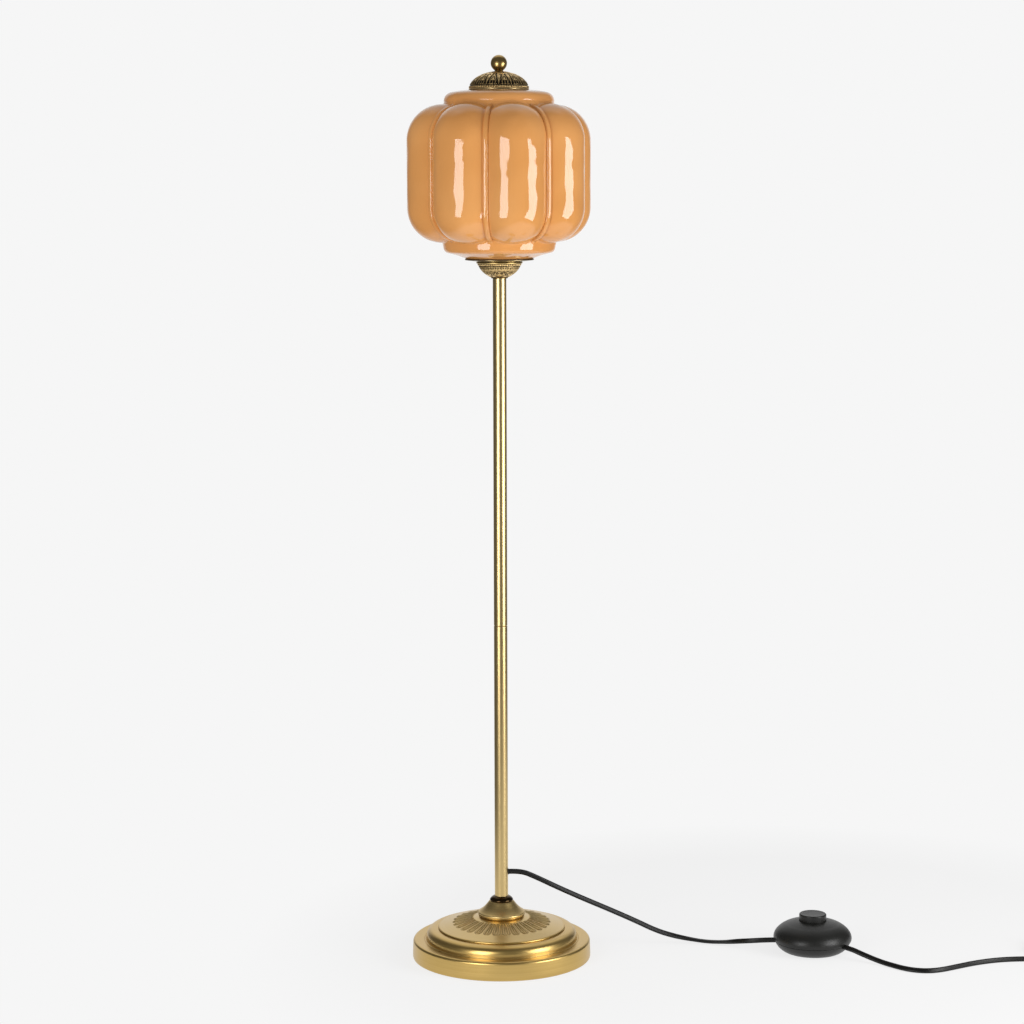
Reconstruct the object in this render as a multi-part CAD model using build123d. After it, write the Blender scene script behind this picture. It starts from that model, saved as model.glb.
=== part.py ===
from build123d import *
import os
from math import acos, ceil, cos, degrees, hypot, pi, radians, sin, sqrt, tan

# A glass floor lamp, in millimetres. The origin is the centre of the base, on the floor,
# +Z is up and the front is towards -Y. The cord lies on the floor to the right, +X.

# Clearances
SLIP = 0.05          # radius left between a shaft or thread and its hole
RUN = 0.3            # room between pieces that move past each other

# Base
PAD_R = 131.0
PAD_T = 2.0
BASE_R = 139.5
BASE_WALL = 1.5
BASE_LIFT = 1.0      # the sheet's edge stays this far off the floor
RIM_TOP = 30.0
RIM_ROUND = 4.2
GROOVE_R = 120.0
GROOVE_W = 3.6
GROOVE_DEEP = 0.9
STEP_LOW = 30.4      # foot of the rounded step, above the groove
STEP_TOP = 46.0
STEP_MID_R = 114.4     # the step's fullest point
STEP_MID_Z = 43.2
LIP_R = 99.5
LIP_TOP = 50.0
LIP_ROUND = 2.0
TONGUE_OUT_R = 76.5
TONGUE_IN_R = 43.0
TONGUE_COUNT = 30
TONGUE_HIGH = 0.9
TONGUE_SHARE = 0.66  # share of the pitch that a tongue takes
DISC_IN_R = 78.0
DISC_IN_Z = 54.4
SEAT_R = 34.0
SEAT_Z = 66.0
WEIGHT_R = 118.0
WEIGHT_T = 17.0
WEIGHT_BOSS_R = 24.0
POCKET_R = 20.0
POCKET_DEEP = 12.0

# Foot of the pole
CONE_BOTTOM_R = 37.0
CONE_LIP_Z = 3.8     # height of the cone's lip above the seat
CONE_NECK_R = 35.2
CONE_NECK_Z = 7.0
CONE_TOP_R = 19.0
CONE_H = 24.0
CONE_WALL = 2.6
BEAD_FOOT_R = 17.2
BEAD_R = 18.3
BEAD_SIDE_R = 17.9
BEAD_TOP_R = 11.7
BEAD_H = 7.9

# Pole
POLE_R = 10.4
POLE_WALL = 1.4
LOWER_POLE_L = 461.0
UPPER_POLE_L = 536.5
JOINT_GAP = 0.4      # fine line between the two tubes
JOINT_CHAMFER = 0.7
BUSH_L = 25.0
STUD_R = 6.0
STUD_BORE_R = 4.0
STUD_L = 38.0
NIPPLE_R = 5.0       # M10 x 1 lamp tube
NIPPLE_BORE_R = 3.6
NIPPLE_REACH = 18.0  # how deep the upper nipple screws into the pole's bush
EXIT_Z = 135.5
EXIT_TURN = 12.0     # plan direction of the cord's hole, degrees from +X

# Cup and dish under the glass
CUP_FOOT_R = 12.5
CUP_R = 35.4
CUP_H = 22.7
CUP_WALL = 1.4
DISH_R = 53.5
DISH_FOLD_R = 44.0
DISH_FOLD_H = 3.0
DISH_H = 5.8
DISH_WALL = 1.4
SEAT_RING_IN_R = 46.0
GASKET_T = 1.0

# Glass
GLASS_WALL = 3.5
GLASS_H = 254.0      # foot of the lower collar to the top of the upper one
LOBES = 8
LOBE_TURN = 13.5     # plan angle of one lobe's middle from the front, towards +X
LOBE_CENTRE_R = 89.5
LOBE_R = 52.5
LOWER_ROUND_Z = 78.0     # centre of the lower shoulder above the glass's foot
UPPER_ROUND_Z = 178.5
LOWER_ROUND = 53.0
UPPER_ROUND = 54.5
SEAM_FULL = 12.0     # the shoulders' centres move in by this much at a seam
RIB_W = 8.4
RIB_R = 129.0
RIB_CREST_ROUND = 3.2
RIB_DEEP = 8.6
COLLAR_R = 88.5
COLLAR_WALL = 4.0
COLLAR_IN = 4.5      # the collars' rims stand this far inside their roots
LOWER_RIM_Z = 8.0
LOWER_RIM_ROUND = 9.0
UPPER_RIM_DROP = 3.0
UPPER_RIM_ROUND = 13.0
BOTTOM_HOLE_R = 44.5
BOTTOM_FLAT_R = 52.0
TOP_HOLE_R = 40.0
TOP_FLAT_R = 48.0

# Cap and finial
CAP_R = 46.5
CAP_H = 27.6
CAP_WALL = 1.4
CAP_FLAT_R = 7.0
BALL_R = 12.5
BALL_NECK_R = 5.6
BALL_NECK_H = 0.6
FINIAL_STUD_R = 3.0

# Bow inside the glass
BOW_HALF = 38.0
BOW_WIRE_R = 2.0
BOW_TOP_GAP = 10.0   # top of the bow below the top of the cap
SADDLE_T = 2.0
SADDLE_W = 16.0
TANG_W = 3.2
TANG_T = 2.4
TANG_H = 16.0
SPACER_T = 3.0
SPACER_R = 12.0
LOCKNUT_AF = 14.0
LOCKNUT_H = 4.5
FERRULE_R = 3.6
FERRULE_L = 16.0
HUB_R = 7.0
HUB_H = 9.0

# Lampholder and bulb
HOLDER_R = 19.0
HOLDER_CAP_H = 20.0
HOLDER_NECK_R = 7.5
HOLDER_NECK_H = 6.0
HOLDER_WALL = 1.0
SLEEVE_H = 38.0
INSULATOR_R = 16.4
INSULATOR_H = 14.0
BULB_CAP_R = 13.0
BULB_CAP_H = 25.0
SCREW_SHELL_T = 0.5
BULB_R = 30.0
BULB_L = 107.0
BULB_GLASS_T = 1.0
BULB_NECK_R = 12.2
CONTACT_R = 4.5
CONTACT_T = 1.5

# Cord
CORD_R = 4.0         # half the width of the flat cord
CORD_ENTRY = 1.2     # how far the cord reaches into the pole's wall bush

# Foot switch
SWITCH_X = 492.0
SWITCH_Y = 22.0
FOOT_T = 1.2
SWITCH_R = 61.6
SWITCH_BOTTOM_R = 44.5
SWITCH_WIDE_Z = 22.6
SWITCH_DOME_H = 30.0
SEAM_Z = 18.0
SEAM_GAP = 0.5
SWITCH_WALL = 2.2
PORT_IN_R = 46.0
IN_PORT_TURN = 180.0
OUT_PORT_TURN = -42.0
BUTTON_R = 21.4
BUTTON_TOP = 61.0
BUTTON_WALL = 2.2
BUTTON_DISH = 0.5
BUTTON_TRAVEL = 4.0
FLANGE_R = 24.0
FLANGE_T = 2.0
STEM_R = 6.0
HOUSING_R = 15.0
HOUSING_WALL = 2.0
HOUSING_TOP = 32.0
ROTOR_Z = 9.0
ROTOR_H = 4.0
ROTOR_HUB_H = 4.0
ROTOR_TEETH = 8
PIVOT_R = 2.0
SPRING_R = 8.6
SPRING_WIRE_R = 0.7
SPRING_CURLS = 6
STRIP_T = 1.0
STRIP_W = 6.0
STRIP_Z = 7.0
STRIP_TURN = 69.0    # plan direction of the contact strips, square between the ports
CLAMP_T = 6.0
CLAMP_W = 20.0
CLAMP_BOLT_R = 1.5
CLAMP_HEAD_R = 2.6
CLAMP_HEAD_H = 1.8
POST_R = 3.4
POST_AT_R = 41.0
POST_TURNS = (33.5, 113.5, 235.0, 285.0)
SCREW_R = 1.4
SCREW_HEAD_R = 2.7

# Coil of put-away cord, its tie and the plug
COIL_X = 887.0
COIL_LIFT = 1.0      # room under the coil for the tie
COIL_GAP = 0.8
COIL_OUT_R = 50.5
CLIMB_DRAW_IN = 1.1   # the turn that climbs runs this much inside the others
TURNS_IN = 1.25
TURNS_OUT = 1.25
TIE_TURN = 135.0
TIE_W = 5.0
TIE_T = 0.8
PLUG_W = 18.0
PLUG_H = 14.0
PLUG_L = 30.0
PLUG_RELIEF_L = 22.0
PLUG_TAIL = 60.0     # from the end of the coil to the plug's strain relief
BLADE_GAP = 12.7
BLADE_T = 1.5
BLADE_W = 6.3
BLADE_L = 16.0

# Heights that follow from the stack
seat_top = SEAT_Z
cone_top = seat_top + CONE_H
joint_z = seat_top + LOWER_POLE_L
upper_foot = joint_z + JOINT_GAP
pole_top = upper_foot + UPPER_POLE_L
cup_top = pole_top + CUP_H
dish_floor = cup_top + DISH_WALL
dish_top = cup_top + DISH_H
glass_foot = dish_top + GASKET_T
glass_top = glass_foot + GLASS_H
cap_foot = glass_top + GASKET_T
cap_top = cap_foot + CAP_H
ball_z = cap_top + BALL_NECK_H + sqrt(BALL_R**2 - BALL_NECK_R**2)
lower_round_z = glass_foot + LOWER_ROUND_Z
upper_round_z = glass_foot + UPPER_ROUND_Z
saddle_z = dish_floor + SPACER_T
locknut_z = saddle_z + SADDLE_T
holder_z = locknut_z + LOCKNUT_H
insulator_z = holder_z + HOLDER_NECK_H + HOLDER_WALL
insulator_top = insulator_z + INSULATOR_H
bow_top = cap_top - BOW_TOP_GAP
pole_bore_r = POLE_R - POLE_WALL
pocket_top = PAD_T + POCKET_DEEP
socket_r = BULB_CAP_R + SLIP * 2
cord_floor = CORD_R
coil_floor = CORD_R + COIL_LIFT
coil_pitch = 2 * CORD_R + COIL_GAP

parts = {}


def at(radius, height):
    return Vector(radius, 0, height)


def outline(start, *steps):
    """Closed outline in radius and height. A step is a point, a middle and an end of an arc, or an edge."""
    edges = []
    here = at(*start)
    for step in steps:
        if isinstance(step, Edge):
            edge = step
            end = step @ 1 if (step @ 0 - here).length < 1e-4 else step @ 0
        elif isinstance(step[0], tuple):
            end = at(*step[1])
            edge = ThreePointArc(here, at(*step[0]), end)
        else:
            end = at(*step)
            edge = Line(here, end)
        edges.append(edge)
        here = end
    if (here - at(*start)).length > 1e-4:
        edges.append(Line(here, at(*start)))
    return make_face(edges)


def turned(start, *steps):
    return revolve(outline(start, *steps), Axis.Z)


def rod(radius, low, high):
    return Pos(0, 0, (low + high) / 2) * Cylinder(radius, high - low)


def tube(inner, outer, low, high):
    return rod(outer, low, high) - rod(inner, low - 1, high + 1)


def hexagon(across_flats, bore, low, high):
    flat = RegularPolygon(across_flats / 2, 6, major_radius=False) - Circle(bore)
    return extrude(Pos(0, 0, low) * flat, high - low)


def ellipse_edge(centre_z, half_wide, half_high, low_turn, high_turn):
    """Part of an upright ellipse about the axis, between two angles above the horizontal."""
    span = high_turn - low_turn
    return Plane.XZ * EllipticalCenterArc((0, centre_z), half_wide, half_high, low_turn, arc_size=span)


def base_outline(wall):
    """Section under the base's sheet, less a wall. The inside leaves out the small steps."""
    rim = BASE_R - wall
    rim_top = RIM_TOP - wall - (GROOVE_DEEP if wall else 0)
    corner = RIM_ROUND * (1 - sqrt(0.5))
    step_out = GROOVE_R - GROOVE_W / 2 - wall
    step_low = STEP_LOW - wall
    step_mid = (STEP_MID_R - wall, STEP_MID_Z - wall)
    disc_steps = [
        (0, SEAT_Z - wall),
        (SEAT_R, SEAT_Z - wall),
        (DISC_IN_R, DISC_IN_Z - wall),
    ]
    if wall:
        lip_steps = [(LIP_R - 2 * wall, LIP_TOP - wall), (LIP_R - 2 * wall, STEP_TOP - wall)]
        groove_steps = [(step_out, rim_top)]
    else:
        lip_steps = [
            (LIP_R - LIP_ROUND, LIP_TOP),
            ((LIP_R, LIP_TOP - LIP_ROUND), (LIP_R - 1.5, STEP_TOP)),
        ]
        groove_steps = [
            ((GROOVE_R, RIM_TOP - GROOVE_DEEP), (GROOVE_R + GROOVE_W / 2, RIM_TOP)),
        ]
    return outline(
        (0, BASE_LIFT),
        *disc_steps,
        *lip_steps,
        (step_mid, (step_out, step_low)),
        *groove_steps,
        (rim - RIM_ROUND, rim_top),
        ((rim - corner, rim_top - corner), (rim, rim_top - RIM_ROUND)),
        (rim, BASE_LIFT),
    )


def tongue():
    """One raised tongue of the embossed ring, before it is cut to the slope of the disc."""
    wide = pi * TONGUE_OUT_R / TONGUE_COUNT * TONGUE_SHARE
    narrow = pi * TONGUE_IN_R / TONGUE_COUNT * TONGUE_SHARE
    end = TONGUE_OUT_R - wide
    edges = [
        Line((TONGUE_IN_R, -narrow), (end, -wide)),
        ThreePointArc((end, -wide), (TONGUE_OUT_R, 0), (end, wide)),
        Line((end, wide), (TONGUE_IN_R, narrow)),
        Line((TONGUE_IN_R, narrow), (TONGUE_IN_R, -narrow)),
    ]
    return extrude(Pos(0, 0, DISC_IN_Z - 1) * make_face(edges), SEAT_Z - DISC_IN_Z)


def make_base():
    sheet = revolve(base_outline(0), Axis.Z) - revolve(base_outline(BASE_WALL), Axis.Z)
    sheet -= rod(NIPPLE_R + SLIP, SEAT_Z - 5, SEAT_Z + 5)
    skin = turned(
        (SEAT_R, SEAT_Z - BASE_WALL / 2),
        (DISC_IN_R, DISC_IN_Z - BASE_WALL / 2),
        (DISC_IN_R, DISC_IN_Z + TONGUE_HIGH),
        (SEAT_R, SEAT_Z + TONGUE_HIGH),
    )
    raised = tongue() & skin
    tongues = [Rot(0, 0, 360 * i / TONGUE_COUNT) * raised for i in range(TONGUE_COUNT)]
    parts["base_shell"] = sheet.fuse(*tongues)

    weight = rod(WEIGHT_R, PAD_T, PAD_T + WEIGHT_T) + rod(WEIGHT_BOSS_R, PAD_T, SEAT_Z - BASE_WALL)
    weight -= rod(POCKET_R, PAD_T - 1, pocket_top)
    weight -= rod(NIPPLE_R + SLIP, PAD_T, SEAT_Z)
    parts["base_weight"] = weight
    parts["base_pad"] = rod(PAD_R, 0, PAD_T)
    parts["base_washer"] = tube(NIPPLE_R + SLIP, 15, pocket_top - 2, pocket_top)
    parts["base_nut"] = hexagon(17, NIPPLE_R + SLIP, pocket_top - 9.5, pocket_top - 2)
    parts["base_stud"] = tube(NIPPLE_BORE_R, NIPPLE_R, pocket_top - 11, seat_top + BUSH_L - 3)


def make_foot():
    lip = seat_top + CONE_LIP_Z
    neck = seat_top + CONE_NECK_Z
    middle_r = (CONE_NECK_R + CONE_TOP_R) / 2 - 1.2
    middle_z = (neck + cone_top) / 2 - 0.8
    parts["foot_cone"] = turned(
        (POLE_R + SLIP, cone_top),
        (CONE_TOP_R, cone_top),
        ((middle_r, middle_z), (CONE_NECK_R, neck)),
        ((CONE_BOTTOM_R, lip), (CONE_BOTTOM_R - 1, seat_top)),
        (CONE_BOTTOM_R - 1 - CONE_WALL, seat_top),
        (CONE_NECK_R - CONE_WALL, neck - CONE_WALL),
        (CONE_TOP_R - CONE_WALL, cone_top - 2 * CONE_WALL),
        (POLE_R + SLIP, cone_top - 2 * CONE_WALL),
    )
    bead_top = cone_top + BEAD_H
    parts["foot_ring"] = turned(
        (POLE_R + SLIP, cone_top),
        (BEAD_FOOT_R, cone_top),
        ((BEAD_R, cone_top + 1.5), (BEAD_SIDE_R, cone_top + 2.8)),
        ((BEAD_R - 2.2, cone_top + 5.0), (BEAD_TOP_R, bead_top)),
        (POLE_R + SLIP, bead_top),
    )


def exit_side(solid):
    """Turn a piece that was made along +X to the side where the cord leaves the pole."""
    return Rot(0, 0, EXIT_TURN) * solid


def make_pole():
    bush_r = CORD_R + 2 * SLIP + 1.2
    hole = exit_side(Pos(POLE_R, 0, EXIT_Z) * Rot(0, 90, 0) * Cylinder(bush_r + SLIP, 8))
    chamfer = JOINT_CHAMFER
    parts["lower_pole"] = turned(
        (pole_bore_r, seat_top),
        (POLE_R, seat_top),
        (POLE_R, joint_z - chamfer),
        (POLE_R - chamfer, joint_z),
        (pole_bore_r, joint_z),
    ) - hole
    parts["upper_pole"] = turned(
        (pole_bore_r, upper_foot),
        (POLE_R - chamfer, upper_foot),
        (POLE_R, upper_foot + chamfer),
        (POLE_R, pole_top),
        (pole_bore_r, pole_top),
    )
    parts["pole_foot_bush"] = tube(NIPPLE_R + SLIP, pole_bore_r, seat_top, seat_top + BUSH_L)
    parts["lower_pole_bush"] = tube(STUD_R + SLIP, pole_bore_r, joint_z - BUSH_L, joint_z)
    parts["upper_pole_bush"] = tube(STUD_R + SLIP, pole_bore_r, upper_foot, upper_foot + BUSH_L)
    parts["pole_top_bush"] = tube(NIPPLE_R + SLIP, pole_bore_r, pole_top - BUSH_L, pole_top)
    parts["pole_stud"] = tube(STUD_BORE_R, STUD_R, joint_z - STUD_L / 2, joint_z + STUD_L / 2)

    barrel = Pos(POLE_R + 0.3, 0, EXIT_Z) * Rot(0, 90, 0) * Cylinder(bush_r, 3.6)
    flange = Pos(POLE_R + 0.9, 0, EXIT_Z) * Rot(0, 90, 0) * Cylinder(bush_r + 1.3, 2.4)
    bore = Pos(POLE_R, 0, EXIT_Z) * Rot(0, 90, 0) * Cylinder(CORD_R + SLIP, 12)
    outside = Pos(0, 0, EXIT_Z) * Cylinder(POLE_R + SLIP, 40)
    parts["cord_grommet"] = exit_side((barrel + (flange - outside)) - bore)

    lead_start = POLE_R - CORD_ENTRY
    route = FilletPolyline(
        (lead_start, 0, EXIT_Z),
        (0, 0, EXIT_Z),
        (0, 0, holder_z + HOLDER_NECK_H),
        radius=lead_start - 1.5,
    )
    section = Plane(origin=route @ 0, z_dir=route % 0) * Circle(NIPPLE_BORE_R - 0.8)
    parts["inner_lead"] = exit_side(sweep(section, path=route))


def make_cup_and_dish():
    inner = CUP_WALL
    middle_r = CUP_R * 0.755
    middle_z = pole_top + CUP_H * 0.43
    parts["shade_cup"] = turned(
        (NIPPLE_R + SLIP, pole_top),
        (CUP_FOOT_R, pole_top),
        ((middle_r, middle_z), (CUP_R, cup_top)),
        (CUP_R - inner, cup_top),
        ((middle_r - inner, middle_z + inner / 2), (CUP_FOOT_R, pole_top + inner)),
        (NIPPLE_R + SLIP, pole_top + inner),
    )
    parts["shade_dish"] = turned(
        (NIPPLE_R + SLIP, cup_top),
        (CUP_R + 0.3, cup_top),
        (DISH_FOLD_R, cup_top + DISH_FOLD_H),
        (DISH_R - 0.4, dish_top - 1.1),
        (DISH_R, dish_top),
        (SEAT_RING_IN_R - 1, dish_top),
        (CUP_R + 1.2, dish_floor + 0.3),
        (CUP_R + 0.3, dish_floor),
        (NIPPLE_R + SLIP, dish_floor),
    )
    parts["shade_gasket"] = tube(SEAT_RING_IN_R, DISH_R - 1, dish_top, glass_foot)


def lobe_radius(turn):
    """Distance from the axis to the lobes' outside, at an angle from a lobe's middle."""
    side = LOBE_CENTRE_R * sin(radians(turn))
    return LOBE_CENTRE_R * cos(radians(turn)) + sqrt(LOBE_R**2 - side**2)


def lower_shoulder(centre_r, radius):
    """Middle and end of the arc that climbs from the glass's underside to its upright side."""
    reach = radius * sqrt(0.5)
    return (centre_r + reach, lower_round_z - reach), (centre_r + radius, lower_round_z)


def upper_shoulder(centre_r, radius):
    """Middle and end of the arc that climbs from the upright side to the glass's top."""
    reach = radius * sqrt(0.5)
    return (centre_r + reach, upper_round_z + reach), (centre_r, upper_round_z + radius)


def lobe_section(turn, wall):
    """Upright section of one lobe, in the plane at an angle from the lobe's middle."""
    crest = lobe_radius(0)
    outside = lobe_radius(turn)
    moved = SEAM_FULL * (turn / (180 / LOBES))**2
    core = COLLAR_R / 3
    lower_c = crest - LOWER_ROUND - moved
    upper_c = crest - UPPER_ROUND - moved
    lower_r = outside - lower_c - wall
    upper_r = outside - upper_c - wall
    face = outline(
        (core, lower_round_z - lower_r),
        (lower_c, lower_round_z - lower_r),
        lower_shoulder(lower_c, lower_r),
        (outside - wall, upper_round_z),
        upper_shoulder(upper_c, upper_r),
        (core, upper_round_z + upper_r),
    )
    return Rot(0, 0, turn) * face


def lobe(wall):
    half_pitch = 180 / LOBES
    return loft([lobe_section(half_pitch * step / 2, wall) for step in (-2, -1, 0, 1, 2)])


def rib():
    """Rounded rib that covers the seam between two lobes, from collar to collar."""
    crest = lobe_radius(0)
    lower_c = crest - LOWER_ROUND - SEAM_FULL
    upper_c = crest - UPPER_ROUND - SEAM_FULL
    lower_r = RIB_R - lower_c
    upper_r = RIB_R - upper_c
    deep = RIB_DEEP
    face = outline(
        (lower_c, lower_round_z - lower_r),
        lower_shoulder(lower_c, lower_r),
        (RIB_R, upper_round_z),
        upper_shoulder(upper_c, upper_r),
        (upper_c, upper_round_z + upper_r - deep),
        (upper_shoulder(upper_c, upper_r - deep)[0], (RIB_R - deep, upper_round_z)),
        (RIB_R - deep, lower_round_z),
        (lower_shoulder(lower_c, lower_r - deep)[0], (lower_c, lower_round_z - lower_r + deep)),
    )
    solid = extrude(face, RIB_W / 2, both=True)
    crest_edges = [
        edge
        for edge in solid.edges()
        if abs(abs(edge.center().Y) - RIB_W / 2) < 1e-3 and outermost(edge, lower_c, upper_c)
    ]
    return fillet(crest_edges, RIB_CREST_ROUND)


def outermost(edge, lower_c, upper_c):
    """True for the three edges along the rib's crest, and not for those along its root."""
    middle = edge @ 0.5
    if middle.Z > upper_round_z:
        away = hypot(middle.X - upper_c, middle.Z - upper_round_z)
        return away > RIB_R - upper_c - RIB_DEEP / 2
    if middle.Z < lower_round_z:
        away = hypot(middle.X - lower_c, middle.Z - lower_round_z)
        return away > RIB_R - lower_c - RIB_DEEP / 2
    return middle.X > RIB_R - RIB_DEEP / 2


def collars():
    """The two collars, each a turned wall that closes in to its hole."""
    root_in = COLLAR_R - COLLAR_WALL
    rim_r = COLLAR_R - COLLAR_IN
    lower_root = lower_round_z - LOWER_ROUND
    upper_root = upper_round_z + UPPER_ROUND
    lower_rim = glass_foot + LOWER_RIM_Z
    upper_rim = glass_top - UPPER_RIM_DROP
    overlap = 2 * COLLAR_WALL
    lower = turned(
        (BOTTOM_HOLE_R, glass_foot),
        (BOTTOM_FLAT_R, glass_foot),
        *rounded((BOTTOM_FLAT_R, glass_foot), (rim_r, lower_rim), (COLLAR_R, lower_root), LOWER_RIM_ROUND),
        (COLLAR_R, lower_root + overlap),
        (root_in, lower_root + overlap),
        *rounded(
            (root_in, lower_root),
            (rim_r - COLLAR_WALL, lower_rim + COLLAR_WALL),
            (BOTTOM_HOLE_R, glass_foot + COLLAR_WALL),
            LOWER_RIM_ROUND / 2,
        ),
    )
    upper = turned(
        (TOP_HOLE_R, glass_top),
        (TOP_FLAT_R, glass_top),
        *rounded((TOP_FLAT_R, glass_top), (rim_r, upper_rim), (COLLAR_R, upper_root), UPPER_RIM_ROUND),
        (COLLAR_R, upper_root - overlap),
        (root_in, upper_root - overlap),
        *rounded(
            (root_in, upper_root),
            (rim_r - COLLAR_WALL, upper_rim - COLLAR_WALL),
            (TOP_HOLE_R, glass_top - COLLAR_WALL),
            UPPER_RIM_ROUND - COLLAR_WALL,
        ),
    )
    return lower, upper


def rounded(before, corner, after, radius):
    """Steps of an outline from one point to another, past a corner that is rounded."""
    here, mid, there = Vector(*before), Vector(*corner), Vector(*after)
    back = (here - mid).normalized()
    on = (there - mid).normalized()
    half_turn = radians(back.get_angle(on)) / 2
    reach = radius / tan(half_turn)
    centre = mid + (back + on).normalized() * (radius / sin(half_turn))
    nearest = centre + (mid - centre).normalized() * radius
    first = mid + back * reach
    last = mid + on * reach
    return [(first.X, first.Y), ((nearest.X, nearest.Y), (last.X, last.Y)), (after[0], after[1])]


def make_glass():
    wedge = lobe(0) - lobe(GLASS_WALL)
    wedge -= rod(COLLAR_R - COLLAR_WALL / 2, glass_foot - 10, glass_top + 10)
    lower, upper = collars()
    pitch = 360 / LOBES
    lobes = [Rot(0, 0, pitch * i) * wedge for i in range(LOBES)]
    one_rib = rib()
    ribs = [Rot(0, 0, pitch * (i + 0.5)) * one_rib for i in range(LOBES)]
    body = lobes[0].fuse(*lobes[1:])
    body = body.fuse(*ribs)
    body = body.fuse(lower, upper)
    parts["glass_shade"] = Rot(0, 0, LOBE_TURN - 90) * body


def make_cap():
    inner_r = CAP_R - CAP_WALL
    inner_h = CAP_H - CAP_WALL
    flat_turn = 90 - degrees(CAP_FLAT_R / CAP_R)
    inner_flat = 90 - degrees(CAP_FLAT_R / inner_r)
    outer_edge = ellipse_edge(cap_foot, CAP_R, CAP_H, 0, flat_turn)
    inner_edge = ellipse_edge(cap_foot, inner_r, inner_h, 0, inner_flat)
    hole_r = FINIAL_STUD_R + RUN
    flat_z = (outer_edge @ 1).Z
    inner_z = (inner_edge @ 1).Z
    cap = turned(
        (inner_r, cap_foot),
        (CAP_R, cap_foot),
        outer_edge,
        (hole_r, flat_z),
        (hole_r, inner_z),
        ((inner_edge @ 1).X, inner_z),
        inner_edge,
    )
    parts["top_cap"] = cap
    parts["cap_gasket"] = tube(TOP_HOLE_R + 1, CAP_R - 0.6, glass_top, cap_foot)

    neck_foot = flat_z
    ball = Pos(0, 0, ball_z) * Sphere(BALL_R)
    neck = rod(BALL_NECK_R, neck_foot, ball_z)
    parts["finial"] = (ball + neck) - rod(FINIAL_STUD_R + SLIP, neck_foot - 1, ball_z)


def make_bow():
    parts["harp_spacer"] = tube(NIPPLE_R + SLIP, SPACER_R, dish_floor, saddle_z)
    outer = BOW_HALF + TANG_T / 2
    strip = Pos(0, 0, saddle_z + SADDLE_T / 2) * Box(2 * outer, 2 * TANG_W, SADDLE_T)
    strip += rod(SADDLE_W / 2 + 3, saddle_z, locknut_z)
    for side in (-1, 1):
        strip += Pos(side * BOW_HALF, 0, saddle_z + TANG_H / 2) * Box(TANG_T, TANG_W, TANG_H)
    parts["harp_saddle"] = strip - rod(NIPPLE_R + SLIP, saddle_z - 1, locknut_z + 1)
    parts["shade_locknut"] = hexagon(LOCKNUT_AF, NIPPLE_R + SLIP, locknut_z, holder_z)
    parts["shade_nipple"] = tube(NIPPLE_BORE_R, NIPPLE_R, pole_top - NIPPLE_REACH, holder_z + HOLDER_NECK_H)

    wire_foot = saddle_z + TANG_H
    arch_z = bow_top - BOW_HALF
    path = Wire([
        Line((-BOW_HALF, 0, wire_foot), (-BOW_HALF, 0, arch_z)),
        ThreePointArc((-BOW_HALF, 0, arch_z), (0, 0, bow_top), (BOW_HALF, 0, arch_z)),
        Line((BOW_HALF, 0, arch_z), (BOW_HALF, 0, wire_foot)),
    ])
    bow = sweep(Plane(origin=path @ 0, z_dir=path % 0) * Circle(BOW_WIRE_R), path=path)
    parts["harp_bow"] = bow

    sleeve_r = BOW_WIRE_R + 2 * SLIP
    sleeve = tube(sleeve_r, FERRULE_R, wire_foot - FERRULE_L / 2, wire_foot + FERRULE_L / 2)
    parts["harp_ferrules"] = Compound([Pos(side * BOW_HALF, 0, 0) * sleeve for side in (-1, 1)])

    hub = rod(HUB_R, bow_top - BOW_WIRE_R - 1, bow_top - BOW_WIRE_R - 1 + HUB_H)
    hub += rod(FINIAL_STUD_R, bow_top, ball_z - 1)
    arch = Plane(origin=(0, 0, arch_z), z_dir=(0, 1, 0))
    ring_cut = Solid.make_torus(BOW_HALF, BOW_WIRE_R + SLIP, arch)
    parts["harp_hub"] = hub - ring_cut


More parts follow.
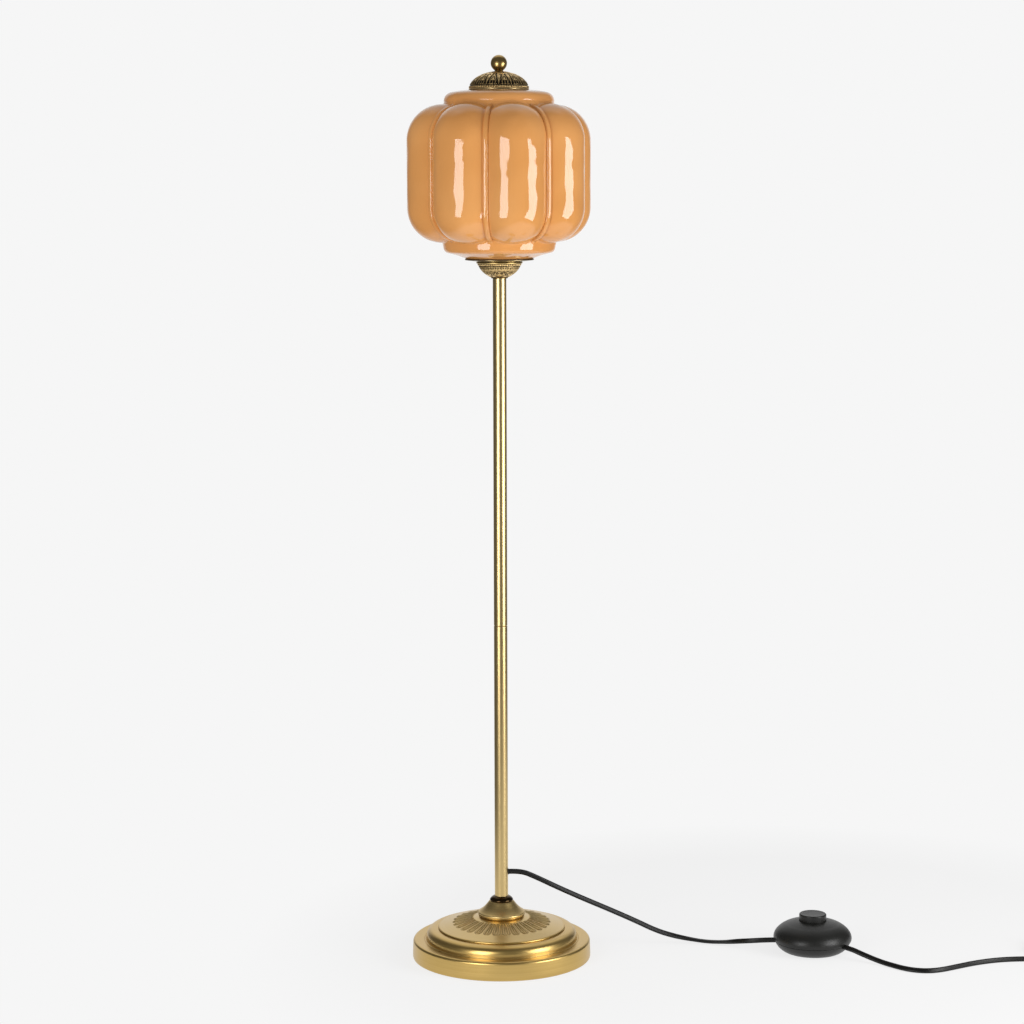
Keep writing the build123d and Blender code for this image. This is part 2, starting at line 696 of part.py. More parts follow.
def make_holder():
    neck_top = holder_z + HOLDER_NECK_H
    skirt = neck_top + 9
    cap_end = holder_z + HOLDER_CAP_H
    wall = HOLDER_WALL
    parts["holder_cap"] = turned(
        (NIPPLE_R + SLIP, holder_z),
        (HOLDER_NECK_R, holder_z),
        (HOLDER_NECK_R, neck_top),
        ((HOLDER_R * 0.82, neck_top + 2.6), (HOLDER_R, skirt)),
        (HOLDER_R, cap_end),
        (HOLDER_R - wall, cap_end),
        (HOLDER_R - wall, skirt),
        (INSULATOR_R, insulator_z),
        (NIPPLE_R + SLIP, insulator_z),
    )
    parts["holder_insulator"] = turned(
        (0, insulator_z),
        (INSULATOR_R - 2, insulator_z),
        (INSULATOR_R, insulator_z + 4),
        (INSULATOR_R, insulator_top),
        (0, insulator_top),
    )
    sleeve_foot = skirt
    parts["holder_sleeve"] = tube(
        INSULATOR_R, HOLDER_R - wall - SLIP, sleeve_foot, sleeve_foot + SLEEVE_H
    )
    parts["screw_shell"] = tube(
        socket_r, socket_r + SCREW_SHELL_T, insulator_top, insulator_top + BULB_CAP_H + 1
    )
    parts["centre_contact"] = rod(CONTACT_R, insulator_top, insulator_top + CONTACT_T)

    contact_z = insulator_top + CONTACT_T + RUN
    cap_foot_z = contact_z + 3
    cap_end_z = contact_z + BULB_CAP_H
    parts["bulb_cap"] = turned(
        (0, contact_z),
        (CONTACT_R, contact_z),
        (CONTACT_R + 1, cap_foot_z),
        (BULB_CAP_R, cap_foot_z + 4),
        (BULB_CAP_R, cap_end_z),
        (BULB_CAP_R - 0.6, cap_end_z),
        (BULB_CAP_R - 0.6, cap_foot_z + 4.5),
        (CONTACT_R, cap_foot_z + 1),
        (0, cap_foot_z + 1),
    )
    centre_z = contact_z + BULB_L - BULB_R
    glass = bulb_outline(cap_end_z - 3, centre_z, 0) - bulb_outline(cap_end_z - 4, centre_z, BULB_GLASS_T)
    parts["bulb_glass"] = glass
    stem_z = cap_foot_z + 1
    stem = rod(2.4, stem_z, centre_z - 6) + rod(6, stem_z + 5, cap_end_z - 6)
    for side in (-1, 1):
        stem += Pos(side * 5, 0, 0) * rod(0.8, cap_end_z - 7, centre_z + 16)
    stem += Pos(0, 0, centre_z - 8) * Box(10, 1.2, 1.6)
    parts["bulb_stem"] = stem


def bulb_outline(foot, centre, wall):
    """Pear-shaped solid of the bulb, from its neck in the cap to its crown."""
    reach = BULB_R - wall
    low = radians(-42)
    waist_r, waist_z = reach * cos(low), centre + reach * sin(low)
    neck = BULB_NECK_R - wall
    return turned(
        (0, foot),
        (neck, foot),
        (neck, foot + 7),
        ((neck + 1.6, foot + 14), (waist_r, waist_z)),
        ((reach, centre), (0, centre + reach)),
    )


def switch_outline(wall):
    """Section of the pebble-shaped foot switch, less its wall, up to the button's hole."""
    wide = SWITCH_R - wall
    foot = FOOT_T + wall
    dome = SWITCH_DOME_H - wall
    low_mid = (wide - 6.6, SEAM_Z - 9.2 + wall / 2)
    hole_turn = degrees(acos((BUTTON_R + RUN) / wide))
    edge = ellipse_edge(SWITCH_WIDE_Z, wide, dome, 0, hole_turn)
    return outline(
        (0, foot),
        (SWITCH_BOTTOM_R - wall / 2, foot),
        (low_mid, (wide - 1.1, SEAM_Z)),
        ((wide - 0.3, (SEAM_Z + SWITCH_WIDE_Z) / 2), (wide, SWITCH_WIDE_Z)),
        edge,
        (0, (edge @ 1).Z),
    )


def spoke(turn, solid):
    """Turn a piece of the switch that was made along +X to another side."""
    return Rot(0, 0, turn) * solid


def to_switch(solid):
    return Pos(SWITCH_X, SWITCH_Y, 0) * solid


def make_switch():
    pebble = revolve(switch_outline(0), Axis.Z)
    hollow = revolve(switch_outline(SWITCH_WALL), Axis.Z)
    shell = pebble - hollow
    floor_z = FOOT_T + SWITCH_WALL
    port = Pos(SWITCH_R, 0, SEAM_Z) * Rot(0, 90, 0) * Cylinder(CORD_R + SLIP, 40)
    ports = [spoke(turn, port) for turn in (IN_PORT_TURN, OUT_PORT_TURN)]
    everything = 3 * SWITCH_R
    above = Pos(0, 0, SEAM_Z + SEAM_GAP / 2 + everything / 2) * Box(everything, everything, everything)
    below = Pos(0, 0, SEAM_Z - SEAM_GAP / 2 - everything / 2) * Box(everything, everything, everything)

    bolt_x = PORT_IN_R + CLAMP_T / 2 + 1
    bolt_y = CLAMP_W / 2 - 3
    cradle = Pos(bolt_x, 0, (floor_z + SEAM_Z) / 2) * Box(CLAMP_T, CLAMP_W, SEAM_Z - floor_z)
    bar_foot = SEAM_Z + RUN
    bar_top = SEAM_Z + CORD_R + 2
    bar = Pos(bolt_x, 0, (bar_foot + bar_top) / 2) * Box(CLAMP_T, CLAMP_W, bar_top - bar_foot)
    bolt_hole_foot = SEAM_Z - 8
    for side in (-1, 1):
        hole = Pos(bolt_x, side * bolt_y, 0) * rod(CLAMP_BOLT_R + SLIP, bolt_hole_foot, bar_top + 1)
        cradle -= hole
        bar -= hole
    bar -= port
    bolt = rod(CLAMP_BOLT_R, bolt_hole_foot, bar_top) + rod(CLAMP_HEAD_R, bar_top, bar_top + CLAMP_HEAD_H)
    bolts = [Pos(bolt_x, side * bolt_y, 0) * bolt for side in (-1, 1)]

    post = Pos(POST_AT_R, 0, 0) * rod(POST_R, floor_z - 0.5, SEAM_Z - SEAM_GAP)
    screw_hole = Pos(POST_AT_R, 0, 0) * rod(SCREW_R + SLIP, 0, SEAM_Z + 12)
    head_hole = Pos(POST_AT_R, 0, 0) * rod(SCREW_HEAD_R + 0.2, 0, FOOT_T + 4)
    boss_top = SWITCH_WIDE_Z + SWITCH_DOME_H * 0.72 - SWITCH_WALL
    boss = Pos(POST_AT_R, 0, 0) * rod(POST_R, SEAM_Z + SEAM_GAP / 2, boss_top)

    base = shell & below
    base += (spoke(IN_PORT_TURN, cradle) + spoke(OUT_PORT_TURN, cradle)) & pebble
    base += rod(PIVOT_R, floor_z - 0.5, ROTOR_Z + ROTOR_H + 1)
    housing = tube(HOUSING_R - HOUSING_WALL, HOUSING_R, floor_z - 0.5, HOUSING_TOP - HOUSING_WALL)
    slot_x = HOUSING_R - HOUSING_WALL / 2
    slot = Pos(slot_x, 0, STRIP_Z - STRIP_T / 2) * Box(3 * HOUSING_WALL, STRIP_W + 0.4, STRIP_T + 0.2)
    for turn in (STRIP_TURN, STRIP_TURN + 180):
        housing -= spoke(turn, slot)
    base += housing
    for turn in POST_TURNS:
        base += spoke(turn, post)
    for turn in POST_TURNS:
        base -= spoke(turn, screw_hole)
        base -= spoke(turn, head_hole)
    for cut in ports:
        base -= cut
    parts["switch_base"] = to_switch(base)

    cover = shell & above
    cover -= rod(BUTTON_R + RUN, SWITCH_WIDE_Z, BUTTON_TOP + 10)
    for turn in POST_TURNS:
        cover += spoke(turn, boss) & pebble
    for turn in POST_TURNS:
        cover -= spoke(turn, screw_hole)
    for cut in ports:
        cover -= cut
    parts["switch_cover"] = to_switch(cover)
    housing_lid = tube(STEM_R + RUN, HOUSING_R, HOUSING_TOP - HOUSING_WALL, HOUSING_TOP)
    parts["housing_lid"] = to_switch(housing_lid)

    bars = [spoke(turn, bar) for turn in (IN_PORT_TURN, OUT_PORT_TURN)]
    parts["cord_clamps"] = to_switch(Compound(bars))
    turned_bolts = [spoke(turn, each) for turn in (IN_PORT_TURN, OUT_PORT_TURN) for each in bolts]
    parts["clamp_screws"] = to_switch(Compound(turned_bolts))
    head_z = FOOT_T + 4
    shell_screw = rod(SCREW_R, head_z, SEAM_Z + 11) + rod(SCREW_HEAD_R, head_z - 2.2, head_z)
    shell_screw = Pos(POST_AT_R, 0, 0) * shell_screw
    parts["shell_screws"] = to_switch(Compound([spoke(turn, shell_screw) for turn in POST_TURNS]))
    pad = Pos(SWITCH_BOTTOM_R - 9, 0, 0) * rod(5, 0, FOOT_T)
    pad_turns = (0, 90, 180, 270)
    parts["switch_feet"] = to_switch(Compound([spoke(turn + 45, pad) for turn in pad_turns]))

    make_button()
    make_works(floor_z)


def make_button():
    flange_top = SWITCH_WIDE_Z + under_dome(FLANGE_R) - 0.4
    skirt_foot = flange_top - FLANGE_T
    stem_foot = ROTOR_Z + ROTOR_H + ROTOR_HUB_H + BUTTON_TRAVEL + 2 * RUN
    round_r = 2.2
    corner = round_r * (1 - sqrt(0.5))
    cap = turned(
        (0, stem_foot),
        (STEM_R, stem_foot),
        (STEM_R, BUTTON_TOP - BUTTON_WALL),
        (BUTTON_R - BUTTON_WALL, BUTTON_TOP - BUTTON_WALL),
        (BUTTON_R - BUTTON_WALL, skirt_foot),
        (FLANGE_R, skirt_foot),
        (FLANGE_R, flange_top),
        (BUTTON_R, flange_top),
        (BUTTON_R, BUTTON_TOP - round_r),
        ((BUTTON_R - corner, BUTTON_TOP - corner), (BUTTON_R - round_r, BUTTON_TOP)),
        (BUTTON_R * 0.6, BUTTON_TOP - BUTTON_DISH),
        (0, BUTTON_TOP - BUTTON_DISH),
    )
    parts["switch_button"] = to_switch(cap)
    low = HOUSING_TOP
    high = BUTTON_TOP - BUTTON_WALL
    rise = high - low - 2 * SPRING_WIRE_R
    curl = Helix(rise / SPRING_CURLS, rise, SPRING_R)
    wire = sweep(Plane(origin=curl @ 0, z_dir=curl % 0) * Circle(SPRING_WIRE_R), path=curl, is_frenet=True)
    parts["return_spring"] = to_switch(Pos(0, 0, low + SPRING_WIRE_R) * wire)


def under_dome(radius):
    """Height of the cover's inner face above the widest line, at a distance from the middle."""
    wide = SWITCH_R - SWITCH_WALL
    return (SWITCH_DOME_H - SWITCH_WALL) * sqrt(1 - (radius / wide)**2)


def make_works(floor_z):
    rotor_r = HOUSING_R - HOUSING_WALL - RUN
    hub_top = ROTOR_Z + ROTOR_H + ROTOR_HUB_H
    rotor = rod(rotor_r, ROTOR_Z, ROTOR_Z + ROTOR_H) + rod(STEM_R, ROTOR_Z, hub_top)
    tooth = Pos((STEM_R + rotor_r) / 2, 0, ROTOR_Z + ROTOR_H + 0.9) * Box(rotor_r - STEM_R - 1.6, 1.8, 2)
    rotor += [spoke(360 * i / ROTOR_TEETH, tooth) for i in range(ROTOR_TEETH)]
    rotor -= rod(PIVOT_R + SLIP, ROTOR_Z - 1, ROTOR_Z + ROTOR_H + 1 + 2 * RUN)
    parts["ratchet_rotor"] = to_switch(rotor)
    bridge_foot = STRIP_Z + RUN
    bridge = Pos(0, 0, (bridge_foot + ROTOR_Z) / 2) * Box(2 * rotor_r - 2, 5, ROTOR_Z - bridge_foot)
    bridge &= rod(rotor_r - 0.5, 0, ROTOR_Z)
    bridge -= rod(PIVOT_R + RUN, 0, ROTOR_Z)
    parts["rotor_contact"] = to_switch(spoke(STRIP_TURN, bridge))
    strip_in = HOUSING_R - HOUSING_WALL - 5
    strip_out = HOUSING_R + 13
    strip_foot = STRIP_Z - STRIP_T
    strip_mid = (strip_in + strip_out) / 2
    strip = Pos(strip_mid, 0, STRIP_Z - STRIP_T / 2) * Box(strip_out - strip_in, STRIP_W, STRIP_T)
    pad_foot = Pos(strip_out - 3, 0, (floor_z + strip_foot) / 2) * Box(6, STRIP_W, strip_foot - floor_z)
    strips = [spoke(turn, strip + pad_foot) for turn in (STRIP_TURN, STRIP_TURN + 180)]
    parts["contact_strips"] = to_switch(Compound(strips))
    parts["switch_wires"] = to_switch(Compound(switch_wires(strip_out)))


def wire_run(points, radius):
    bends = bend_radii(points)
    path = FilletPolyline(*points, radius=bends)
    return sweep(Plane(origin=path @ 0, z_dir=path % 0) * Circle(radius), path=path)


def switch_wires(strip_out):
    """Two live cores to the contact strips, and the neutral core that runs past the works."""
    core_r = 1.5
    side = 2.0
    start = PORT_IN_R
    high = STRIP_Z + core_r + 4
    near = Vector(start, side, SEAM_Z).rotate(Axis.Z, IN_PORT_TURN)
    near_live = Vector(start, -side, SEAM_Z).rotate(Axis.Z, IN_PORT_TURN)
    far = Vector(start, -side, SEAM_Z).rotate(Axis.Z, OUT_PORT_TURN)
    far_live = Vector(start, side, SEAM_Z).rotate(Axis.Z, OUT_PORT_TURN)
    end_r = strip_out - 3
    pad_a = Vector(end_r, 0, STRIP_Z).rotate(Axis.Z, STRIP_TURN)
    pad_b = Vector(end_r, 0, STRIP_Z).rotate(Axis.Z, STRIP_TURN + 180)
    live_in = [
        near_live,
        near_live + Vector(9, 0, 0),
        Vector(end_r, 0, high + 4).rotate(Axis.Z, STRIP_TURN + 35),
        Vector(end_r, 0, high).rotate(Axis.Z, STRIP_TURN),
        pad_a,
    ]
    out_back = Vector(-9, 0, 0).rotate(Axis.Z, OUT_PORT_TURN)
    live_out = [
        far_live,
        far_live + out_back,
        Vector(end_r, 0, high + 3).rotate(Axis.Z, STRIP_TURN + 218),
        Vector(end_r, 0, high).rotate(Axis.Z, STRIP_TURN + 180),
        pad_b,
    ]
    pass_r = HOUSING_R + 7
    pass_z = high + 9
    neutral = [
        near,
        near + Vector(8, 0, 0),
        Vector(pass_r, 0, pass_z).rotate(Axis.Z, 215),
        Vector(pass_r, 0, pass_z).rotate(Axis.Z, 282),
        far + out_back * 0.9,
        far,
    ]
    return [wire_run(route, core_r) for route in (live_in, live_out, neutral)]


def bend_radii(points):
    """Radius of the arc at each inner point of a route: 0.45 of the shorter run over tan of the half turn."""
    spots = [Vector(*point) for point in points]
    radii = []
    for before, here, after in zip(spots, spots[1:], spots[2:]):
        turn = (here - before).get_angle(after - here)
        run = min((here - before).length, (after - here).length)
        radii.append(0.45 * run / tan(radians(turn) / 2))
    return radii


def laid_cord(name, points):
    """Free stretch of cord along straight runs and tangent arcs. Prints its radii and length."""
    radii = bend_radii(points)
    path = FilletPolyline(*points, radius=radii)
    solid = sweep(Plane(origin=path @ 0, z_dir=path % 0) * Circle(CORD_R), path=path)
    length = sum(edge.length for edge in path.edges())
    share = solid.volume / (pi * CORD_R**2 * length)
    print(name, "length", round(length, 1), "volume share", round(share, 4))
    print("  radii", [round(radius) for radius in radii])
    parts[name] = solid
    return length


def pole_side(distance, height, sideways=0):
    """A point out from the pole on the side where the cord leaves it."""
    turn = radians(EXIT_TURN)
    return (
        distance * cos(turn) - sideways * sin(turn),
        distance * sin(turn) + sideways * cos(turn),
        height,
    )


def port_point(turn, distance, height=SEAM_Z):
    return (
        SWITCH_X + distance * cos(radians(turn)),
        SWITCH_Y + distance * sin(radians(turn)),
        height,
    )


def make_cords():
    to_switch_route = [
        pole_side(POLE_R - CORD_ENTRY, EXIT_Z),
        pole_side(31, EXIT_Z),
        pole_side(55, 124.2),
        pole_side(90.6, 105.3),
        pole_side(132, 84.6),
        pole_side(174.7, 64.3),
        pole_side(217, 43.4),
        pole_side(251.5, 25),
        pole_side(279.2, 14.8),
        (300.1, 63, 7.8),
        (328.2, 61, cord_floor),
        (356, 53, 6.1),
        (376.9, 42.5, 10.4),
        (393.2, 27.8, 14.9),
        port_point(IN_PORT_TURN, SWITCH_R + 9),
        port_point(IN_PORT_TURN, PORT_IN_R),
    ]
    length = laid_cord("cord_to_switch", to_switch_route)

    coil_lead = COIL_X - 2 * CORD_R
    from_switch_route = [
        port_point(OUT_PORT_TURN, PORT_IN_R),
        port_point(OUT_PORT_TURN, SWITCH_R + 9),
        (562, -37.5, 12.8),
        (578.5, -48, 8.2),
        (594, -60, 4.8),
        (607, -73, cord_floor),
        (619, -86, cord_floor),
        (635, -97, cord_floor),
        (655, -101.5, cord_floor),
        (676.3, -96, cord_floor),
        (700.2, -81.5, cord_floor),
        (736, -59, cord_floor),
        (776, -43, cord_floor),
        (815, -38.5, cord_floor),
        (850, coil_south, coil_floor),
        (coil_lead, coil_south, coil_floor),
    ]
    length += laid_cord("cord_from_switch", from_switch_route)

    plug_end = COIL_X + 2 * CORD_R + PLUG_TAIL
    high = coil_floor + coil_pitch
    plug_z = PLUG_H / 2
    to_plug_route = [
        (plug_end - PLUG_TAIL, coil_south, high),
        (plug_end - PLUG_TAIL * 0.7, coil_south, high),
        (plug_end - PLUG_TAIL * 0.32, coil_south, plug_z),
        (plug_end, coil_south, plug_z),
    ]
    length += laid_cord("cord_to_plug", to_plug_route)
    return length, plug_end


coil_south = -39.0
coil_y = coil_south + COIL_OUT_R


def coil_point(turns):
    """Centre of the wound cord after some turns, and its direction."""
    half = 0.5
    climb_start = TURNS_IN
    climb_end = TURNS_IN + half
    inner = COIL_OUT_R - TURNS_IN * coil_pitch
    angle = 2 * pi * turns - pi / 2
    if turns < climb_start:
        radius, growth, rise, slope = COIL_OUT_R - turns * coil_pitch, -coil_pitch, 0.0, 0.0
    elif turns < climb_end:
        share = (turns - climb_start) / half
        radius = inner - 4 * CLIMB_DRAW_IN * share * (1 - share)
        growth = -4 * CLIMB_DRAW_IN * (1 - 2 * share) / half
        rise = coil_pitch * share * share * (3 - 2 * share)
        slope = coil_pitch * 6 * share * (1 - share) / half
    else:
        radius, growth = inner + (turns - climb_end) * coil_pitch, coil_pitch
        rise, slope = coil_pitch, 0.0
    spot = Vector(COIL_X + radius * cos(angle), coil_y + radius * sin(angle), coil_floor + rise)
    along = 2 * pi * radius
    direction = Vector(
        growth * cos(angle) - along * sin(angle),
        growth * sin(angle) + along * cos(angle),
        slope,
    )
    return spot, direction.normalized()


def biarc(start, start_way, end, end_way):
    """Two tangent arcs from one point and direction to another."""
    across = end - start
    ways = start_way + end_way
    bend = 2 * (1 - start_way.dot(end_way))
    lean = across.dot(ways)
    reach = (-lean + sqrt(lean**2 + bend * across.dot(across))) / bend
    knee = (start + start_way * reach + end - end_way * reach) / 2
    way = ((end - end_way * reach) - (start + start_way * reach)).normalized()
    return [Edge.make_tangent_arc(start, start_way, knee), Edge.make_tangent_arc(knee, way, end)]


def make_coil():
    total = TURNS_IN + 0.5 + TURNS_OUT
    quarters = round(total * 4)
    stops = [coil_point(total * i / quarters) for i in range(quarters + 1)]
    level = [Vector(1, 0, 0)]
    first_spot, last_spot = stops[0][0], stops[-1][0]
    ways = level + [way for spot, way in stops[1:-1]] + level
    spots = [spot for spot, way in stops]
    edges = [Line(first_spot - Vector(2 * CORD_R, 0, 0), first_spot)]
    for i in range(quarters):
        edges += biarc(spots[i], ways[i], spots[i + 1], ways[i + 1])
    edges.append(Line(last_spot, last_spot + Vector(2 * CORD_R, 0, 0)))
    path = Wire(edges)
    section = Plane(origin=edges[0] @ 0, z_dir=Vector(1, 0, 0)) * Circle(CORD_R)
    parts["cord_coil"] = sweep(section, path=path)
    length = sum(edge.length for edge in edges)
    steps = 60
    dots = [coil_point(i / steps)[0] for i in range(ceil(total * steps))]
    gap = min(
        (dots[i] - dots[j]).length
        for i in range(len(dots))
        for j in range(i + steps // 3, len(dots))
    )
    print("cord_coil length", round(length, 1), "least gap to itself", round(gap - 2 * CORD_R, 2))
    return length


def make_tie():
    """Flat tie round the bundle on the side away from the view."""
    inner = COIL_OUT_R - TURNS_IN * coil_pitch - CLIMB_DRAW_IN - CORD_R - 0.4
    outer = COIL_OUT_R + CORD_R + 0.4
    low = COIL_LIFT - TIE_T - 0.1
    high = coil_floor + coil_pitch + CORD_R + 0.3
    middle = (inner + outer) / 2
    wide = outer - inner
    loop = Box(wide + 2 * TIE_T, TIE_W, high - low + TIE_T) - Box(wide, TIE_W + 1, high - low - TIE_T)
    loop = Pos(middle, 0, (low + high + TIE_T) / 2) * loop
    head = Pos(outer + TIE_T + 1.6, 0, (low + high) / 2) * Box(3.2, TIE_W + 2, 6)
    parts["cord_tie"] = Pos(COIL_X, coil_y, 0) * Rot(0, 0, TIE_TURN) * (loop + head)


def make_plug(plug_end):
    middle_z = PLUG_H / 2
    relief_end = plug_end + PLUG_RELIEF_L
    face = relief_end + PLUG_L
    start = Plane(origin=(plug_end, coil_south, middle_z), z_dir=(1, 0, 0))
    root = Plane(origin=(relief_end, coil_south, middle_z), z_dir=(1, 0, 0))
    relief = loft([start * Circle(CORD_R + 0.6), root * Circle(CORD_R + 2)])
    body = Pos((relief_end + face) / 2, coil_south, middle_z) * Box(PLUG_L, PLUG_W, PLUG_H)
    body = fillet(body.edges().filter_by(Axis.X), 4)
    body = fillet(body.faces().sort_by(Axis.X)[0].edges(), 2.5)
    parts["plug_body"] = relief + body
    blades = [
        Pos(face + BLADE_L / 2, coil_south + side * BLADE_GAP / 2, middle_z) * Box(BLADE_L, BLADE_T, BLADE_W)
        for side in (-1, 1)
    ]
    parts["plug_blades"] = Compound(blades)


make_base()
make_foot()
make_pole()
make_cup_and_dish()
make_glass()
make_cap()
make_bow()
make_holder()
make_switch()
free_length, plug_start = make_cords()
coil_length = make_coil()
print("free cord in all", round(free_length + coil_length))
make_tie()
make_plug(plug_start)

os.makedirs("parts", exist_ok=True)
for name, solid in parts.items():
    export_step(solid, f"parts/{name}.step")
print(len(parts), "pieces, height", round(ball_z + BALL_R, 1))
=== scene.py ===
from math import acos, asin, atan2, cos, degrees, hypot, pi, radians, sin, sqrt, tau

import bmesh
import bpy
from mathutils import Matrix, Vector, noise


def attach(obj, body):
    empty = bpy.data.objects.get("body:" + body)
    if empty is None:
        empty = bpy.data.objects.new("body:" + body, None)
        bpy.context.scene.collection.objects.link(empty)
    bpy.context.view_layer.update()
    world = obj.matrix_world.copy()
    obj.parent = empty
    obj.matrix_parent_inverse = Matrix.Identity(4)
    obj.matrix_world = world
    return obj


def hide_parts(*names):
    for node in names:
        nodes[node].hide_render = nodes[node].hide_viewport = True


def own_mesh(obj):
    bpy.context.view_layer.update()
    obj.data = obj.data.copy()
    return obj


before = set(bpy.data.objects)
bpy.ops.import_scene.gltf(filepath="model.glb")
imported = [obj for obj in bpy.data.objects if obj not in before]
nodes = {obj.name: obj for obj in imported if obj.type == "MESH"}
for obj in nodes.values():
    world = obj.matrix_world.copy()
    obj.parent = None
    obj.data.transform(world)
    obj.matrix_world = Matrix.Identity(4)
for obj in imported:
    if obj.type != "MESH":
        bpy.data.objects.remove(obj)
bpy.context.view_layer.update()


# Felt pad: the disc of dark wool felt glued under the base, so that the iron doesn't
# scratch the floor. It shows only as a dark line under the rim. Its solid is kept, and
# this section also has what every finish starts from.
def new_finish(name, **sockets):
    """Material with plain values on its shader's sockets."""
    finish = bpy.data.materials.new(name)
    finish.use_nodes = True
    shader = finish.node_tree.nodes["Principled BSDF"]
    for socket, value in sockets.items():
        shader.inputs[socket.replace("_", " ")].default_value = value
    return finish, shader


def add_node(tree, kind, **sockets):
    """Shader node of a kind, with values or links on its inputs."""
    node = tree.nodes.new("ShaderNode" + kind)
    for socket, value in sockets.items():
        name = socket.replace("_", " ")
        if isinstance(value, bpy.types.NodeSocket):
            tree.links.new(value, node.inputs[name])
        else:
            node.inputs[name].default_value = value
    return node


def maths(tree, operation, *values):
    """Result of a math node, with values or links on its inputs in their order."""
    node = add_node(tree, "Math")
    node.operation = operation
    for socket, value in zip(node.inputs, values):
        if isinstance(value, bpy.types.NodeSocket):
            tree.links.new(value, socket)
        else:
            socket.default_value = value
    return node.outputs["Value"]


def new_group(name, inputs, outputs):
    """Empty shader group with float, colour or vector sockets, and its two end nodes."""
    kinds = {"float": "NodeSocketFloat", "color": "NodeSocketColor", "vector": "NodeSocketVector"}
    tree = bpy.data.node_groups.new(name, "ShaderNodeTree")
    for socket, kind in inputs.items():
        tree.interface.new_socket(socket, in_out="INPUT", socket_type=kinds[kind])
    for socket, kind in outputs.items():
        tree.interface.new_socket(socket, in_out="OUTPUT", socket_type=kinds[kind])
    return tree, tree.nodes.new("NodeGroupInput"), tree.nodes.new("NodeGroupOutput")


def use_group(finish, group, **sockets):
    """The group placed in a finish, with its own values."""
    node = finish.node_tree.nodes.new("ShaderNodeGroup")
    node.node_tree = group
    for socket, value in sockets.items():
        node.inputs[socket.replace("_", " ")].default_value = value
    return node


def join(finish, source, target):
    finish.node_tree.links.new(source, target)


def build_grain():
    """Fine even grain: puts out a roughness that varies and a bumped normal."""
    tree, start, end = new_group(
        "fine grain",
        {"Scale": "float", "Depth": "float", "Rough low": "float", "Rough high": "float"},
        {"Roughness": "float", "Normal": "vector"},
    )
    place = add_node(tree, "TexCoord")
    speckle = add_node(
        tree, "TexNoise", Vector=place.outputs["Object"], Scale=start.outputs["Scale"]
    )
    speckle.inputs["Detail"].default_value = 6
    spread = add_node(
        tree, "MapRange", Value=speckle.outputs["Fac"], From_Min=0.3, From_Max=0.7,
        To_Min=start.outputs["Rough low"], To_Max=start.outputs["Rough high"],
    )
    bump = add_node(tree, "Bump", Height=speckle.outputs["Fac"], Strength=start.outputs["Depth"])
    bump.inputs["Distance"].default_value = 0.0003
    tree.links.new(spread.outputs["Result"], end.inputs["Roughness"])
    tree.links.new(bump.outputs["Normal"], end.inputs["Normal"])
    return tree


fine_grain = build_grain()


def grained(name, color, scale, depth, rough, **sockets):
    """Plain coloured finish with the fine grain on it."""
    finish, shader = new_finish(name, Base_Color=(*color, 1), **sockets)
    grain = use_group(finish, fine_grain, Scale=scale, Depth=depth, Rough_low=rough[0], Rough_high=rough[1])
    join(finish, grain.outputs["Roughness"], shader.inputs["Roughness"])
    join(finish, grain.outputs["Normal"], shader.inputs["Normal"])
    return finish


def dress(finish, *names):
    """Give carried-over solids a finish."""
    for name in names:
        for slot in nodes[name].material_slots:
            slot.material = finish


felt = grained(
    "pressed wool felt", (0.012, 0.014, 0.012), scale=900, depth=1.0,
    rough=(0.9, 1.0), Sheen_Weight=0.4,
)
dress(felt, "base_pad")


# Weight and clamping of the base: a grey iron disc with a boss, out of sight in the hollow
# of the brass cover, and the nut, washer and threaded tube that pull the pole down on it.
cast_iron = grained(
    "grey cast iron", (0.05, 0.05, 0.052), scale=260, depth=1.0,
    rough=(0.55, 0.8), Metallic=0.6,
)
zinc = grained("zinc-plated steel", (0.60, 0.60, 0.58), scale=500, depth=0.3, rough=(0.25, 0.4), Metallic=1.0)
dress(cast_iron, "base_weight")
dress(zinc, "base_stud", "base_washer", "base_nut")


# Base cover: sheet brass spun over a former, then struck with a ring of upright tongues
# round its disc, brushed on the lathe and lacquered. It drops over the iron weight and
# is held by the foot of the pole.
# Vertices closer than WELD millimetres are joined, and a metre is MM millimetres.
TURN_STEPS = 180
SWITCH_STEPS = 144
SMALL_STEPS = 96
WELD = 0.001
MM = 1000


def arc(centre, radius, start, end, steps):
    """Points of an outline along a round stretch, between two angles above the horizontal."""
    turns = [radians(start + (end - start) * i / steps) for i in range(steps + 1)]
    return [(centre[0] + radius * cos(turn), centre[1] + radius * sin(turn)) for turn in turns]


def welded(shape):
    """Join the vertices that share a place and turn every face outwards."""
    bmesh.ops.remove_doubles(shape, verts=shape.verts, dist=WELD)
    bmesh.ops.recalc_face_normals(shape, faces=shape.faces)
    return shape


def spun(outline, steps=TURN_STEPS):
    """Shape turned about the pole's axis from an outline of radius and height, in millimetres."""
    shape = bmesh.new()
    verts = [shape.verts.new((radius, 0, height)) for radius, height in outline]
    edges = [shape.edges.new(pair) for pair in zip(verts, verts[1:])]
    bmesh.ops.spin(
        shape, geom=verts + edges, cent=(0, 0, 0), axis=(0, 0, 1), angle=tau, steps=steps, use_merge=True
    )
    return welded(shape)


def wrapped(across, along, spot):
    """Grid of faces laid round a surface. spot gives a vertex's place from its two shares, 0 to 1."""
    shape = bmesh.new()
    bmesh.ops.create_grid(shape, x_segments=across, y_segments=along, size=0.5)
    for vert in shape.verts:
        vert.co = spot(vert.co.x + 0.5, vert.co.y + 0.5)
    return welded(shape)


def closed_loop(shape, ring):
    """Edges round a ring of vertices."""
    return [shape.edges.new(pair) for pair in zip(ring, ring[1:] + ring[:1])]


